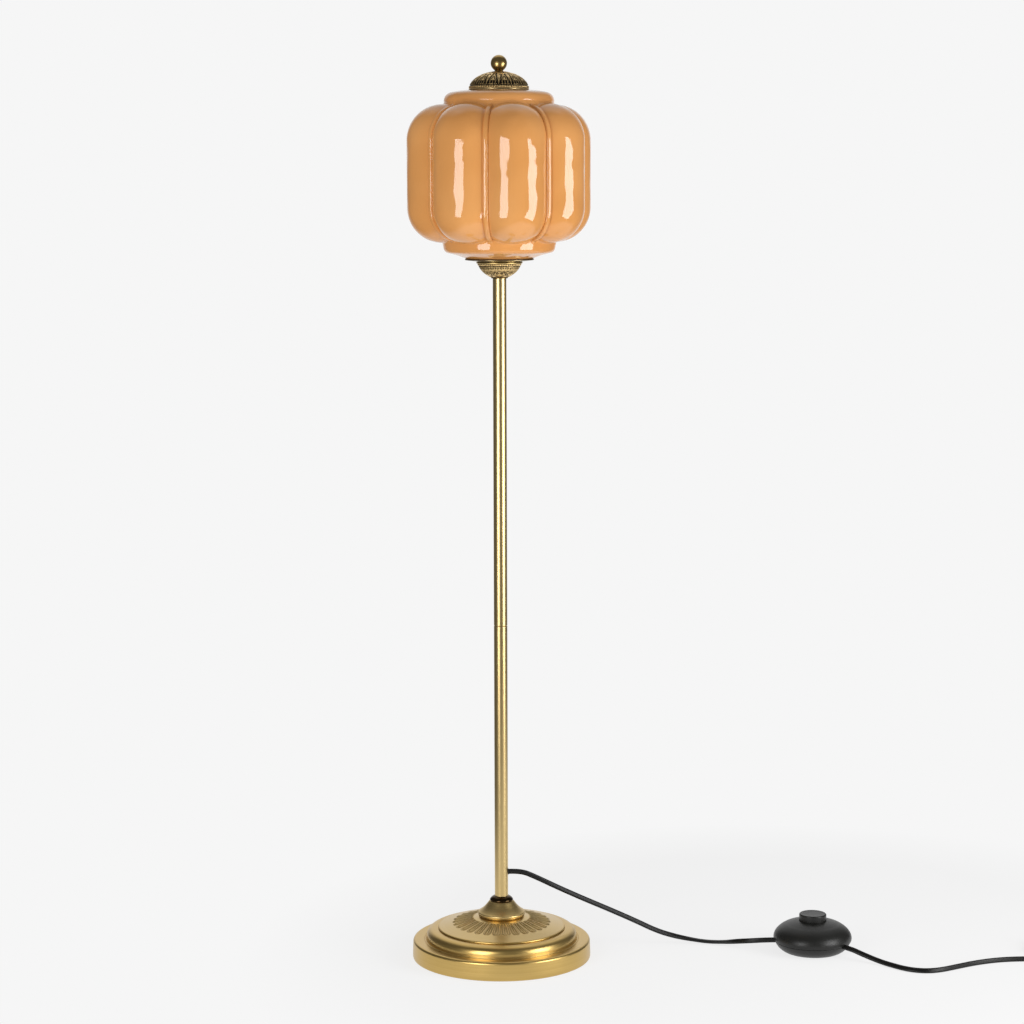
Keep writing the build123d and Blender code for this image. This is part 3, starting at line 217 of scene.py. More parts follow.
def skinned(shape, loops):
    """Lay faces over a run of loops and close both ends."""
    for low, high in zip(loops, loops[1:]):
        bmesh.ops.bridge_loops(shape, edges=low + high)
    for end in (loops[0], loops[-1]):
        bmesh.ops.contextual_create(shape, geom=end)
    bmesh.ops.recalc_face_normals(shape, faces=shape.faces)


def placed(name, shape, finish, body="stand", replaced=()):
    """Turn a shape in millimetres into a piece in metres that rides on a body."""
    bmesh.ops.scale(shape, vec=(1 / MM, 1 / MM, 1 / MM), verts=shape.verts)
    mesh = bpy.data.meshes.new(name)
    shape.to_mesh(mesh)
    shape.free()
    mesh.shade_smooth()
    mesh.materials.append(finish)
    piece = bpy.data.objects.new(name, mesh)
    bpy.context.scene.collection.objects.link(piece)
    even = piece.modifiers.new("even normals", "WEIGHTED_NORMAL")
    even.keep_sharp = True
    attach(piece, body)
    if replaced:
        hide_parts(*replaced)
    return piece


def build_brushing():
    """Fine lines round a turned piece, with slow changes in shade: colour, roughness and normal."""
    tree, start, end = new_group(
        "lathe brushing",
        {"Light": "color", "Deep": "color", "Fineness": "float", "Depth": "float", "Rough low": "float",
         "Rough high": "float"},
        {"Color": "color", "Roughness": "float", "Normal": "vector"},
    )
    place = add_node(tree, "TexCoord")
    parts = add_node(tree, "SeparateXYZ", Vector=place.outputs["Object"])
    squares = [maths(tree, "MULTIPLY", parts.outputs[axis], parts.outputs[axis]) for axis in "XY"]
    away = maths(tree, "SQRT", maths(tree, "ADD", *squares))
    ring = add_node(tree, "CombineXYZ", X=away, Z=parts.outputs["Z"])
    lines = add_node(
        tree, "TexNoise", Vector=ring.outputs["Vector"], Scale=start.outputs["Fineness"]
    )
    lines.inputs["Detail"].default_value = 3
    cloud = add_node(tree, "TexNoise", Vector=place.outputs["Object"], Scale=14)
    both = add_node(tree, "Mix", Factor=0.35, A=lines.outputs["Fac"], B=cloud.outputs["Fac"])
    shade = add_node(tree, "MapRange", Value=both.outputs["Result"], From_Min=0.35, From_Max=0.65)
    tint = add_node(tree, "MixRGB", Fac=shade.outputs["Result"], Color1=start.outputs["Deep"],
                    Color2=start.outputs["Light"])
    rough = add_node(
        tree, "MapRange", Value=both.outputs["Result"], From_Min=0.3, From_Max=0.7,
        To_Min=start.outputs["Rough low"], To_Max=start.outputs["Rough high"],
    )
    bump = add_node(tree, "Bump", Height=lines.outputs["Fac"], Strength=start.outputs["Depth"])
    bump.inputs["Distance"].default_value = 0.00005
    tree.links.new(tint.outputs["Color"], end.inputs["Color"])
    tree.links.new(rough.outputs["Result"], end.inputs["Roughness"])
    tree.links.new(bump.outputs["Normal"], end.inputs["Normal"])
    return tree


lathe_brushing = build_brushing()


def brushed_brass(name, light, deep, fineness, depth, rough):
    finish, shader = new_finish(name, Metallic=1.0)
    brushing = use_group(
        finish, lathe_brushing, Light=(*light, 1), Deep=(*deep, 1), Fineness=fineness, Depth=depth,
        Rough_low=rough[0], Rough_high=rough[1],
    )
    join(finish, brushing.outputs["Color"], shader.inputs["Base Color"])
    join(finish, brushing.outputs["Roughness"], shader.inputs["Roughness"])
    join(finish, brushing.outputs["Normal"], shader.inputs["Normal"])
    return finish


satin_brass = brushed_brass(
    "satin brushed brass", light=(0.62, 0.43, 0.15), deep=(0.55, 0.37, 0.12),
    fineness=900, depth=0.2, rough=(0.27, 0.36),
)


def paint_hollow_shade(finish, dark):
    """Paint shade into a finish where its relief attribute falls to 0, in the hollows of a struck pattern."""
    tree = finish.node_tree
    shader = tree.nodes["Principled BSDF"]
    bright = shader.inputs["Base Color"].links[0].from_socket
    relief = add_node(tree, "Attribute")
    relief.attribute_name = "relief"
    share = add_node(tree, "MapRange", Value=relief.outputs["Fac"])
    tint = add_node(tree, "MixRGB", Fac=share.outputs["Result"], Color1=(*dark, 1), Color2=bright)
    tree.links.new(tint.outputs["Color"], shader.inputs["Base Color"])


struck_brass = brushed_brass(
    "struck brass disc", light=(0.64, 0.47, 0.21), deep=(0.57, 0.41, 0.17),
    fineness=900, depth=0.2, rough=(0.27, 0.36),
)
# Painted shade: the hollows and the ground between the struck tongues are darkened in colour.
paint_hollow_shade(struck_brass, (0.27, 0.165, 0.055))

base_edge = 139.5
rim_top = 30.0
rim_round = 4.2
rim_draft = 0.6
disc_seat = (34.0, 66.0)
disc_fold = (78.0, 54.4)
disc_lip = (97.5, 50.0)
cover_foot = 1.0
sheet = 1.5
step_foot = (118.2, 30.4)
step_start = (99.6, 47.2)
tongue_count = 30
tongue_rise = 0.9
tongue_from = 43.5
tongue_to = 77.0
tongue_past = 1.5
tongue_half = 2.9
tongue_flare = 2.5
tongue_fade = 2.0
head_length = 1.5
head_round = 2.2
ridge_in = 1.1
ridge_full = 1.6
spine_in = 3.4
spine_rise = 0.6
hollow_in = 2.9
hollow_half = 1.1
hollow_dip_and_shade = 0.9
ground_out = 0.9
ground_half = 1.2
ground_past = 1.0
ground_dip_and_shade = 0.95
struck_deep = 0.35


def full_round(start, end, fullness, steps):
    """Outline of a rounded step from its top edge down to its foot. A fullness under 1 is squarer."""
    points = []
    for i in range(steps + 1):
        turn = pi / 2 * i / steps
        across = sin(turn) ** fullness
        down = cos(turn) ** fullness
        points.append((start[0] + (end[0] - start[0]) * across, end[1] + (start[1] - end[1]) * down))
    return points


def disc_height(radius):
    """Height of the sloping disc at a distance from the axis."""
    if radius < disc_fold[0]:
        low, high = disc_seat, disc_fold
    else:
        low, high = disc_fold, disc_lip
    share = (radius - low[0]) / (high[0] - low[0])
    return low[1] + (high[1] - low[1]) * share


def tongue_relief(radius, turn):
    """Height of the struck tongues above the disc, and how much of the colour stays unshaded: 0 where painted
    shade fills the hollows.
    """
    if radius < tongue_from or radius > tongue_to + tongue_past:
        return 0.0, 1.0
    pitch = tau / tongue_count
    side = abs((turn / pitch + 0.5) % 1 - 0.5) * pitch * radius
    share = (radius - tongue_from) / (tongue_to - tongue_from)
    half = tongue_half + tongue_flare * share
    head = tongue_to - head_length * half
    if radius > head:
        half *= sqrt(max(0.0, 1 - ((radius - head) / (tongue_to - head)) ** head_round))
    inside = half - side
    start = min(1, max(0, (radius - tongue_from) / tongue_fade))
    ridge = max(0.0, 1 - abs(inside - ridge_in) / ridge_in)
    spine = max(0.0, 1 - side) * (spine_rise if inside > spine_in else 0.0)
    rise = tongue_rise * start * min(1.0, ridge_full * max(ridge, spine))
    hollow = max(0.0, 1 - abs(inside - hollow_in) / hollow_half)
    end = min(1.0, max(0.0, (tongue_to + ground_past - radius) / tongue_fade))
    ground = max(0.0, 1 - abs(inside + ground_out) / ground_half) * end
    # dark sinks the hollows and the ground, and is also their painted shade.
    dark = start * max(hollow_dip_and_shade * hollow, ground_dip_and_shade * ground)
    return rise - struck_deep * dark, 1 - dark


columns_each = 20
fine_row = 0.8
fine_rows = 58
disc_edge = 97.0
disc_columns = tongue_count * columns_each
disc_rows = [disc_seat[0] + fine_row * i for i in range(fine_rows)] + [83.0, 90.0, disc_edge]
struck_disc = bmesh.new()
bmesh.ops.create_grid(struck_disc, x_segments=disc_columns, y_segments=len(disc_rows) - 1, size=0.5)
# The relief layer holds 1 where the brass is unshaded and 0 where painted shade darkens it.
unshaded_share = struck_disc.verts.layers.float.new("relief")
for vert in struck_disc.verts:
    radius = disc_rows[round((vert.co.y + 0.5) * (len(disc_rows) - 1))]
    turn = tau * (vert.co.x + 0.5)
    rise, vert[unshaded_share] = tongue_relief(radius, turn)
    vert.co = (radius * cos(turn), radius * sin(turn), disc_height(radius) + rise)
welded(struck_disc)
placed("base_disc", struck_disc, struck_brass)

rim_outline = (
    [(disc_edge, disc_height(disc_edge))]
    + arc((97.5, 48.0), 2.0, 90, 0, 6)
    + [(99.3, 46.9), (98.7, 46.6)]
    + full_round(step_start, step_foot, fullness=0.74, steps=16)
    + arc((120.0, 30.8), 1.9, 205, 335, 6)
    + arc((base_edge - rim_draft - rim_round, rim_top - rim_round), rim_round, 90, 0, 8)
    + [(base_edge, 10.0), (base_edge, 3.0), (base_edge - rim_draft, cover_foot + 0.2)]
    + [(base_edge - 1.0, cover_foot), (base_edge - rim_draft - sheet, cover_foot)]
    + [(base_edge - rim_draft - sheet, rim_top - rim_round)]
)
placed("base_cover", spun(rim_outline), satin_brass, replaced=["base_shell"])


# Foot of the pole: a solid turned cone with a flared lip, standing on the disc, and a
# dark bronzed bead above it that closes the gap round the tube.
polished_brass = brushed_brass(
    "polished brass", light=(0.68, 0.50, 0.22), deep=(0.60, 0.43, 0.17),
    fineness=500, depth=0.06, rough=(0.34, 0.40),
)
bronze = brushed_brass(
    "dark bronzed brass", light=(0.10, 0.065, 0.03), deep=(0.05, 0.03, 0.014),
    fineness=500, depth=0.1, rough=(0.12, 0.18),
)

seat_z = disc_seat[1]
cone_top = seat_z + 24.0
cone_outline = (
    [(10.6, cone_top), (18.4, cone_top), (19.0, cone_top - 0.5)]
    + [(20.3, 88.0), (22.1, 85.5), (24.0, 83.1), (26.0, 80.8), (28.1, 78.7)]
    + [(30.4, 76.7), (32.8, 74.8), (34.6, 73.6)]
    + arc((34.7, 71.2), 2.1, 75, -5, 6)
    + [(36.9, 69.6), (36.4, 68.0), (35.6, seat_z + 0.1), (33.0, seat_z + 0.1)]
)
placed("foot_cone_skin", spun(cone_outline), polished_brass, replaced=["foot_cone"])
ring_bore = 10.45
bead_outline = (
    [(ring_bore, cone_top + 0.1), (16.9, cone_top + 0.1), (17.8, cone_top + 0.6)]
    + [(18.25, cone_top + 1.4), (18.2, cone_top + 2.2), (17.7, cone_top + 3.2), (16.6, cone_top + 4.5)]
    + [(15.2, cone_top + 5.8), (13.6, cone_top + 6.9), (11.8, cone_top + 7.7), (ring_bore, cone_top + 7.8)]
)
placed("foot_bead", spun(bead_outline), bronze, replaced=["foot_ring"])


# Pole: two lengths of drawn brass tube screwed together end to end. A fine groove shows
# where they meet. The tubes are brushed and lacquered.
pole_brass = brushed_brass(
    "drawn brass tube", light=(0.68, 0.51, 0.24), deep=(0.66, 0.49, 0.22),
    fineness=12, depth=0.0, rough=(0.30, 0.32),
)

pole_r = 10.4
pole_bore = 9.0
tube_meet = 527.0
tube_gap = 0.4
pole_top = 1063.9
groove_edge = 0.7


def tube_piece(name, low, high, low_edge, high_edge, node):
    outline = [
        (pole_bore, low),
        (pole_r - low_edge, low),
        (pole_r, low + low_edge),
        (pole_r, high - high_edge),
        (pole_r - high_edge, high),
        (pole_bore, high),
        (pole_bore, low),
    ]
    placed(name, spun(outline, SMALL_STEPS), pole_brass, replaced=[node])


tube_piece("pole_low", seat_z, tube_meet, 0.1, groove_edge, "lower_pole")
tube_piece("pole_high", tube_meet + tube_gap, pole_top, groove_edge, 0.1, "upper_pole")
dress(zinc, "pole_top_bush", "upper_pole_bush", "lower_pole_bush", "pole_foot_bush", "pole_stud")
dress(zinc, "shade_nipple")


# Cord: flat two-core flex in black plastic, 8 mm wide, with a groove between its cores.
# It leaves the pole through a rubber bush, hangs to the floor, runs through the foot
# switch and on to a plug, and what the lamp's place doesn't need is wound up and tied.
CORD_WIDE = 0.008
CORD_THICK = 0.0054
EXIT_HEIGHT = 0.1355
EXIT_TURN = radians(12)
SWITCH = Vector((0.492, 0.022, 0))
SEAM = 0.018
IN_PORT = radians(180)
OUT_PORT = radians(-42)
PORT_MOUTH = 0.0706
PORT_DEEP = 0.046
ON_EDGE = CORD_WIDE / 2 + 0.0003

black_rubber = grained("black rubber", (0.014, 0.014, 0.013), scale=700, depth=0.4, rough=(0.5, 0.65))
black_flex = grained(
    "black plastic flex", (0.004, 0.004, 0.0035), scale=420, depth=0.25,
    rough=(0.34, 0.44), Specular_IOR_Level=0.3,
)


def pole_side(out, height, sideways=0):
    """A point out from the pole on the side where the cord leaves it, in metres."""
    return (
        out * cos(EXIT_TURN) - sideways * sin(EXIT_TURN),
        out * sin(EXIT_TURN) + sideways * cos(EXIT_TURN),
        height,
    )


def port(turn, out, height=SEAM):
    return (SWITCH.x + out * cos(turn), SWITCH.y + out * sin(turn), height)


to_switch = [
    pole_side(0.0092, EXIT_HEIGHT),
    pole_side(0.031, EXIT_HEIGHT),
    pole_side(0.055, 0.1242),
    pole_side(0.0906, 0.1053),
    pole_side(0.132, 0.0846),
    pole_side(0.1747, 0.0643),
    pole_side(0.217, 0.0434),
    pole_side(0.2515, 0.025),
    pole_side(0.2792, 0.0148),
    (0.3001, 0.063, 0.0076),
    (0.3282, 0.061, 0.0036),
    (0.356, 0.053, 0.0054),
    (0.3769, 0.0425, 0.0098),
    (0.3932, 0.0278, 0.0148),
    port(IN_PORT, PORT_MOUTH),
    port(IN_PORT, PORT_DEEP),
]

COIL_CENTRE = Vector((0.887, 0.0115))
COIL_SOUTH = -0.039
COIL_OUT = 0.0505
COIL_PITCH = 0.0088
COIL_LIFT = 0.0011
TURNS_IN = 1.25
CLIMB = 0.5
DRAW_IN = 0.0011
COIL_POINTS = 16
LAYER_GAP = 0.0008
layer_low = COIL_LIFT + CORD_THICK / 2
layer_high = layer_low + CORD_THICK + LAYER_GAP


def coil_route():
    """Points of the wound cord: in on the floor, up, and out again on the second layer."""
    total = 2 * TURNS_IN + CLIMB
    stretch = 2 / (1 + cos(tau / COIL_POINTS / 2) ** 2)
    inner = COIL_OUT - TURNS_IN * COIL_PITCH
    route = []
    for step in range(1, round(total * COIL_POINTS)):
        turns = step / COIL_POINTS
        if turns < TURNS_IN:
            radius, height = COIL_OUT - turns * COIL_PITCH, layer_low
        elif turns < TURNS_IN + CLIMB:
            share = (turns - TURNS_IN) / CLIMB
            radius = inner - 4 * DRAW_IN * share * (1 - share)
            height = layer_low + (layer_high - layer_low) * share * share * (3 - 2 * share)
        else:
            radius, height = inner + (turns - TURNS_IN - CLIMB) * COIL_PITCH, layer_high
        angle = tau * turns - pi / 2
        reach = radius * stretch
        route.append((COIL_CENTRE.x + reach * cos(angle), COIL_CENTRE.y + reach * sin(angle), height))
    return route


PLUG_START = 0.955
PLUG_MIDDLE = 0.007
from_switch = [
    port(OUT_PORT, PORT_DEEP),
    port(OUT_PORT, PORT_MOUTH),
    (0.562, -0.0375, 0.0126),
    (0.5785, -0.048, 0.0078),
    (0.594, -0.060, 0.0048),
    (0.607, -0.073, ON_EDGE),
    (0.619, -0.086, ON_EDGE),
    (0.635, -0.097, ON_EDGE),
    (0.655, -0.1015, ON_EDGE),
    (0.6763, -0.096, ON_EDGE),
    (0.7002, -0.0815, ON_EDGE),
    (0.736, -0.059, ON_EDGE),
    (0.776, -0.043, ON_EDGE),
    (0.815, -0.0385, ON_EDGE),
    (0.850, COIL_SOUTH, layer_low),
    (0.879, COIL_SOUTH, layer_low),
    *coil_route(),
    (0.895, COIL_SOUTH, layer_high),
    (0.913, COIL_SOUTH, layer_high),
    (0.9358, COIL_SOUTH, PLUG_MIDDLE),
    (PLUG_START + 0.004, COIL_SOUTH, PLUG_MIDDLE),
]


def spline_points(route, name):
    """Points along the smooth curve that has the route as its control points."""
    curve = bpy.data.curves.new(name, "CURVE")
    curve.dimensions = "3D"
    curve.resolution_u = 10
    spline = curve.splines.new("NURBS")
    spline.points.add(len(route) - 1)
    for point, place in zip(spline.points, route):
        point.co = (*place, 1)
    spline.order_u = 3
    spline.use_endpoint_u = True
    holder = bpy.data.objects.new(name, curve)
    bpy.context.scene.collection.objects.link(holder)
    mesh = bpy.data.meshes.new_from_object(holder)
    points = [vert.co.copy() for vert in mesh.vertices]
    bpy.data.objects.remove(holder)
    bpy.data.meshes.remove(mesh)
    return points


FLEX_SIDES = 24
FLEX_SWELL = 0.06
FLEX_SQUARE = 0.72
GROOVE_DEEP = 0.00045
GROOVE_HALF = 0.0011


def flex_section(share):
    """Point of the flat flex's section, in metres: two round cores side by side, with a groove between."""
    turn = tau * share
    wide = CORD_WIDE / 2
    thick = CORD_THICK / 2
    across = wide * cos(turn) * (1 + FLEX_SWELL * sin(turn) ** 2)
    groove = GROOVE_DEEP * max(0.0, 1 - abs(across) / GROOVE_HALF)
    lift = abs(sin(turn)) ** FLEX_SQUARE * thick - groove
    return min(wide, max(-wide, across)), lift * (1 if turn < pi else -1)


def laid_flex(name, route, twist):
    """Flex along a route. twist gives its lean, in radians, from the share of the way along."""
    path = spline_points(route, name)
    shape = bmesh.new()
    rings = []
    for i, here in enumerate(path):
        before = path[max(0, i - 1)]
        after = path[min(len(path) - 1, i + 1)]
        way = (after - before).normalized()
        flat = way.cross(Vector((0, 0, 1))).normalized()
        up = flat.cross(way)
        lean = Matrix.Rotation(twist(i / (len(path) - 1)), 3, way)
        flat = lean @ flat
        up = lean @ up
        ring = []
        for side in range(FLEX_SIDES):
            across, lift = flex_section((side + 0.5) / FLEX_SIDES)
            ring.append(shape.verts.new(here + flat * across + up * lift))
        rings.append(closed_loop(shape, ring))
    skinned(shape, rings)
    bmesh.ops.scale(shape, vec=(MM, MM, MM), verts=shape.verts)
    return shape, path


def leaning(stations):
    """Lean of a flex, from stations of the share of its way and the angle in degrees."""
    def lean(share):
        for (start, low), (end, high) in zip(stations, stations[1:]):
            if share <= end:
                part = max(0.0, (share - start) / (end - start))
                return radians(low + (high - low) * part * part * (3 - 2 * part))
        return radians(stations[-1][1])

    return lean


lean_hanging = leaning(
    [(0.0, 90), (0.1, 88), (0.2, 62), (0.5, 55), (0.66, 5), (0.72, 5), (0.88, 80), (1.0, 88)]
)
lean_floor = leaning([(0.0, 50), (0.10, 48), (0.14, 78), (0.26, 78), (0.31, 0), (1.0, 0)])


shape, path = laid_flex("flex_pole_to_switch", to_switch, lean_hanging)
flex_one = placed("flex_pole_to_switch", shape, black_flex, replaced=["cord_to_switch"])

bush_shape = bmesh.new()
bmesh.ops.create_cone(bush_shape, cap_ends=True, segments=32, radius1=5.4, radius2=5.0, depth=2.2)
on_side = Matrix.Rotation(pi / 2, 3, "Y")
to_exit = Matrix.Rotation(EXIT_TURN, 3, "Z")
bush_out = 9.9
bmesh.ops.rotate(bush_shape, cent=(0, 0, 0), matrix=on_side, verts=bush_shape.verts)
bmesh.ops.translate(bush_shape, vec=(bush_out, 0, EXIT_HEIGHT * MM), verts=bush_shape.verts)
bmesh.ops.rotate(bush_shape, cent=(0, 0, 0), matrix=to_exit, verts=bush_shape.verts)
placed("exit_bush", bush_shape, black_rubber, replaced=["cord_grommet"])
dress(black_rubber, "cord_tie")


# Plug: moulded black plastic body with a tapered strain relief and two flat brass blades.
# It lies on the floor beside the coil.
black_moulding = grained(
    "black moulded plastic", (0.018, 0.018, 0.016), scale=520, depth=0.4,
    rough=(0.38, 0.5),
)
plain_brass = grained(
    "plain brass", (0.72, 0.52, 0.22), scale=300, depth=0.15,
    rough=(0.25, 0.4), Metallic=1.0,
)
dress(black_moulding, "plug_body")
dress(plain_brass, "plug_blades")

shape, path = laid_flex("flex_switch_to_plug", from_switch, lean_floor)
flex_two = placed(
    "flex_switch_to_plug", shape, black_flex,
    replaced=["cord_from_switch", "cord_coil", "cord_to_plug"],
)


# Foot switch: a black plastic pebble in two shells, screwed together from below, with a
# round push button that stands out of its crown. The flex goes in at one place in the
# seam and out at another.
switch_x = 492.0
switch_y = 22.0
switch_r = 61.6
seam_z = 18.0
seam_gap = 0.3
shell_in = 58.0
wide_z = 22.6
dome = 30.0
hole_r = 21.7

switch_plastic = grained(
    "black switch plastic", (0.009, 0.009, 0.008), scale=650, depth=0.2,
    rough=(0.34, 0.44), Specular_IOR_Level=0.4,
)


def at_switch(shape):
    bmesh.ops.translate(shape, vec=(switch_x, switch_y, 0), verts=shape.verts)
    return shape


def cover_height(radius):
    return wide_z + dome * sqrt(max(0.0, 1 - (radius / switch_r) ** 2))


crown_turn = degrees(acos(hole_r / switch_r))
step_r = 41.0
step_deep = 0.35
crown_steps = 24
cover_arc = []
for i in range(crown_steps + 1):
    turn = radians(crown_turn * i / crown_steps)
    radius = switch_r * cos(turn)
    sunk = step_deep if radius < step_r else 0.0
    cover_arc.append((radius, wide_z + dome * sin(turn) - sunk))
cover_outline = (
    [(shell_in, seam_z + seam_gap), (60.4, seam_z + seam_gap), (60.9, seam_z + 0.7), (61.4, 20.6)]
    + cover_arc
    + [(hole_r - 0.1, cover_height(hole_r) - 1.2), (hole_r - 0.1, cover_height(hole_r) - 3.0)]
)
placed(
    "switch_cover_shell", at_switch(spun(cover_outline, SWITCH_STEPS)), switch_plastic,
    replaced=["switch_cover"],
)
lower_outline = (
    [(0.0, 1.2), (43.4, 1.2), (45.3, 1.6)]
    + [(48.0, 3.0), (51.7, 5.6), (55.0, 8.8), (57.6, 12.6), (59.3, 16.0), (59.8, seam_z - 0.7)]
    + [(59.5, seam_z - seam_gap), (shell_in, seam_z - seam_gap), (shell_in, seam_z + seam_gap)]
)
placed(
    "switch_lower_shell", at_switch(spun(lower_outline, SWITCH_STEPS)), switch_plastic,
    replaced=["switch_base"],
)
button_r = 21.4
button_top = 61.0
button_wall = 2.2
button_round = 2.2
stem_r = 6.0
stem_foot = 21.6
button_outline = (
    [(0.0, button_top - 0.5), (15.5, button_top - 0.5), (17.0, button_top - 0.1)]
    + arc((button_r - button_round, button_top - button_round), button_round, 90, 0, 8)
    + [(button_r, 46.5), (button_r - button_wall, 46.5), (button_r - button_wall, button_top - button_wall)]
    + [(stem_r, button_top - button_wall), (stem_r, stem_foot), (0.0, stem_foot)]
)
placed(
    "switch_push_button", at_switch(spun(button_outline, SMALL_STEPS)), switch_plastic,
    body="button", replaced=["switch_button"],
)


# Return spring: six curls of steel wire between the lid of the ratchet's housing and the
# underside of the button. It shortens as the button goes down.
spring_low = 32.0
spring_high = button_top - button_wall
spring_r = 8.6
spring_ease = 0.05
wire_r = 0.65
spring_curls = 6
CURL_STEPS = 28
WIRE_SIDES = 10


def wound_spring():
    """Wire of the spring, about the pole's axis."""
    shape = bmesh.new()
    climb = spring_high - spring_low - 2 * wire_r - 2 * spring_ease
    steps = spring_curls * CURL_STEPS
    loops = []
    for i in range(steps + 1):
        turn = tau * i / CURL_STEPS
        middle = spring_low + wire_r + spring_ease + climb * i / steps
        ring = []
        for k in range(WIRE_SIDES):
            around = tau * k / WIRE_SIDES
            reach = spring_r + wire_r * cos(around)
            height = middle + wire_r * sin(around)
            ring.append(shape.verts.new((reach * cos(turn), reach * sin(turn), height)))
        loops.append(closed_loop(shape, ring))
    skinned(shape, loops)
    return shape


spring = placed("wire_spring", at_switch(wound_spring()), zinc, replaced=["return_spring"])
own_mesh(spring)
dress(black_moulding, "cord_clamps")
dress(zinc, "clamp_screws", "shell_screws")
dress(black_rubber, "switch_feet", "switch_wires", "inner_lead")
dress(plain_brass, "contact_strips", "rotor_contact")
white_plastic = grained("white plastic", (0.75, 0.74, 0.70), scale=400, depth=0.2, rough=(0.3, 0.45))
dress(white_plastic, "ratchet_rotor", "housing_lid")


# Cup under the glass: spun brass pressed with a leaf pattern, then browned with acid and
# rubbed back, so that the raised parts are bright and the ground is nearly black. A dark
# collar closes its foot and a bright ring its hem.
def build_patina():
    """Dark ground and rubbed tops from the relief's own height."""
    tree, start, end = new_group(
        "rubbed patina",
        {"Height": "float", "Ground": "color", "Top": "color"},
        {"Color": "color", "Roughness": "float"},
    )
    place = add_node(tree, "TexCoord")
    specks = add_node(tree, "TexNoise", Vector=place.outputs["Object"], Scale=260)
    specks.inputs["Detail"].default_value = 4
    worn = maths(tree, "MULTIPLY_ADD", specks.outputs["Fac"], 0.5, start.outputs["Height"])
    mask = add_node(tree, "MapRange", Value=worn, From_Min=0.50, From_Max=1.02)
    tint = add_node(tree, "MixRGB", Fac=mask.outputs["Result"], Color1=start.outputs["Ground"],
                    Color2=start.outputs["Top"])
    rough = add_node(tree, "MapRange", Value=mask.outputs["Result"], To_Min=0.55, To_Max=0.28)
    tree.links.new(tint.outputs["Color"], end.inputs["Color"])
    tree.links.new(rough.outputs["Result"], end.inputs["Roughness"])
    return tree


rubbed_patina = build_patina()
antique_brass, shader = new_finish("browned and rubbed brass", Metallic=0.85)
patina = use_group(antique_brass, rubbed_patina, Ground=(0.018, 0.011, 0.005, 1), Top=(0.85, 0.60, 0.27, 1))
relief = add_node(antique_brass.node_tree, "Attribute")
relief.attribute_name = "relief"
join(antique_brass, relief.outputs["Fac"], patina.inputs["Height"])
join(antique_brass, patina.outputs["Color"], shader.inputs["Base Color"])
join(antique_brass, patina.outputs["Roughness"], shader.inputs["Roughness"])


LEAF_SHARP = 4.2
STEM_SHARP = 5.0
BORDER_SHARP = 9
HEM_RAISED = 0.9
BEAD_RAISED = 1.25
PLAIN_BAND = 0.03
TIER_FROM = 0.62


def foliage(cell, along, seed):
    """Height of a pressed leaf scroll, mirrored in each cell, from its shares across and along."""
    across = abs(cell - 0.5) * 2
    spot = Vector((across * 1.7, along * 3.8 - across * 0.9, seed))
    winding = 1 - abs(noise.noise(spot)) * LEAF_SHARP
    stems = 1 - abs(noise.noise(Vector((across * 3.0 + 7, along * 5.6, seed)))) * STEM_SHARP
    border = 1 - min(across, 1 - across) * BORDER_SHARP
    return min(1.0, max(0.0, winding, 0.85 * stems, 0.8 * border))


def beads(turn, up, count):
    """Height of a row of round beads, from the share up the row."""
    side = abs((turn * count / tau) % 1 - 0.5) * 2
    return sqrt(max(0.0, 1 - side * side - (2 * up - 1) ** 2))


def pressed(spot_at, rows, columns, cells, seed, rise, bead_row, bead_count):
    """Shell about the axis, pressed with foliage. spot_at gives its section and the way out of it."""
    shape = bmesh.new()
    bmesh.ops.create_grid(shape, x_segments=columns, y_segments=rows, size=0.5)
    layer = shape.verts.layers.float.new("relief")
    for vert in shape.verts:
        u, v = vert.co.x + 0.5, vert.co.y + 0.5
        turn = tau * u
        low, high = bead_row
        if v < low:
            raised = HEM_RAISED
        elif v < high:
            raised = BEAD_RAISED * beads(turn, (v - low) / (high - low), bead_count)
        elif v < high + PLAIN_BAND:
            raised = 0.0
        else:
            tier = 0 if v < TIER_FROM else 1
            raised = foliage((u * cells / (1 + tier)) % 1, v, seed + tier)
        (radius, height), (out, up) = spot_at(v)
        vert[layer] = raised
        radius += out * (raised - 1) * rise
        height += up * (raised - 1) * rise
        vert.co = (radius * cos(turn), radius * sin(turn), height)
    return welded(shape)


cup_foot_r = 12.5
cup_low = pole_top
cup_high = 1086.6
cup_ball = 36.4
cup_middle = 1099.3


def cup_spot(v):
    """Section of the cup: part of a sphere, from its hem down to its foot."""
    low = asin((cup_middle - cup_high) / cup_ball)
    turn = low + (acos(cup_foot_r / cup_ball) - low) * v
    return (cup_ball * cos(turn), cup_middle - cup_ball * sin(turn)), (cos(turn), -sin(turn))


cup_shape = pressed(
    cup_spot, rows=66, columns=420, cells=12, seed=3.0, rise=0.9, bead_row=(0.03, 0.13), bead_count=60
)
placed("leaf_cup", cup_shape, antique_brass)
hem_r = 34.6
dish_bore = 30.0
collar_outline = (
    [(ring_bore, cup_low + 0.1), (cup_foot_r, cup_low + 0.1), (cup_foot_r + 0.5, cup_low + 1.0)]
    + [(cup_foot_r, cup_low + 2.4), (ring_bore, cup_low + 2.4)]
)
placed("cup_collar", spun(collar_outline, SMALL_STEPS), bronze, replaced=["shade_cup"])

hem_outline = (
    arc((hem_r - 0.4, cup_high + 1.1), 1.2, -90, 90, 10)
    + [(dish_bore, cup_high + 2.2), (dish_bore, cup_high)]
)
placed("cup_hem", spun(hem_outline), polished_brass)
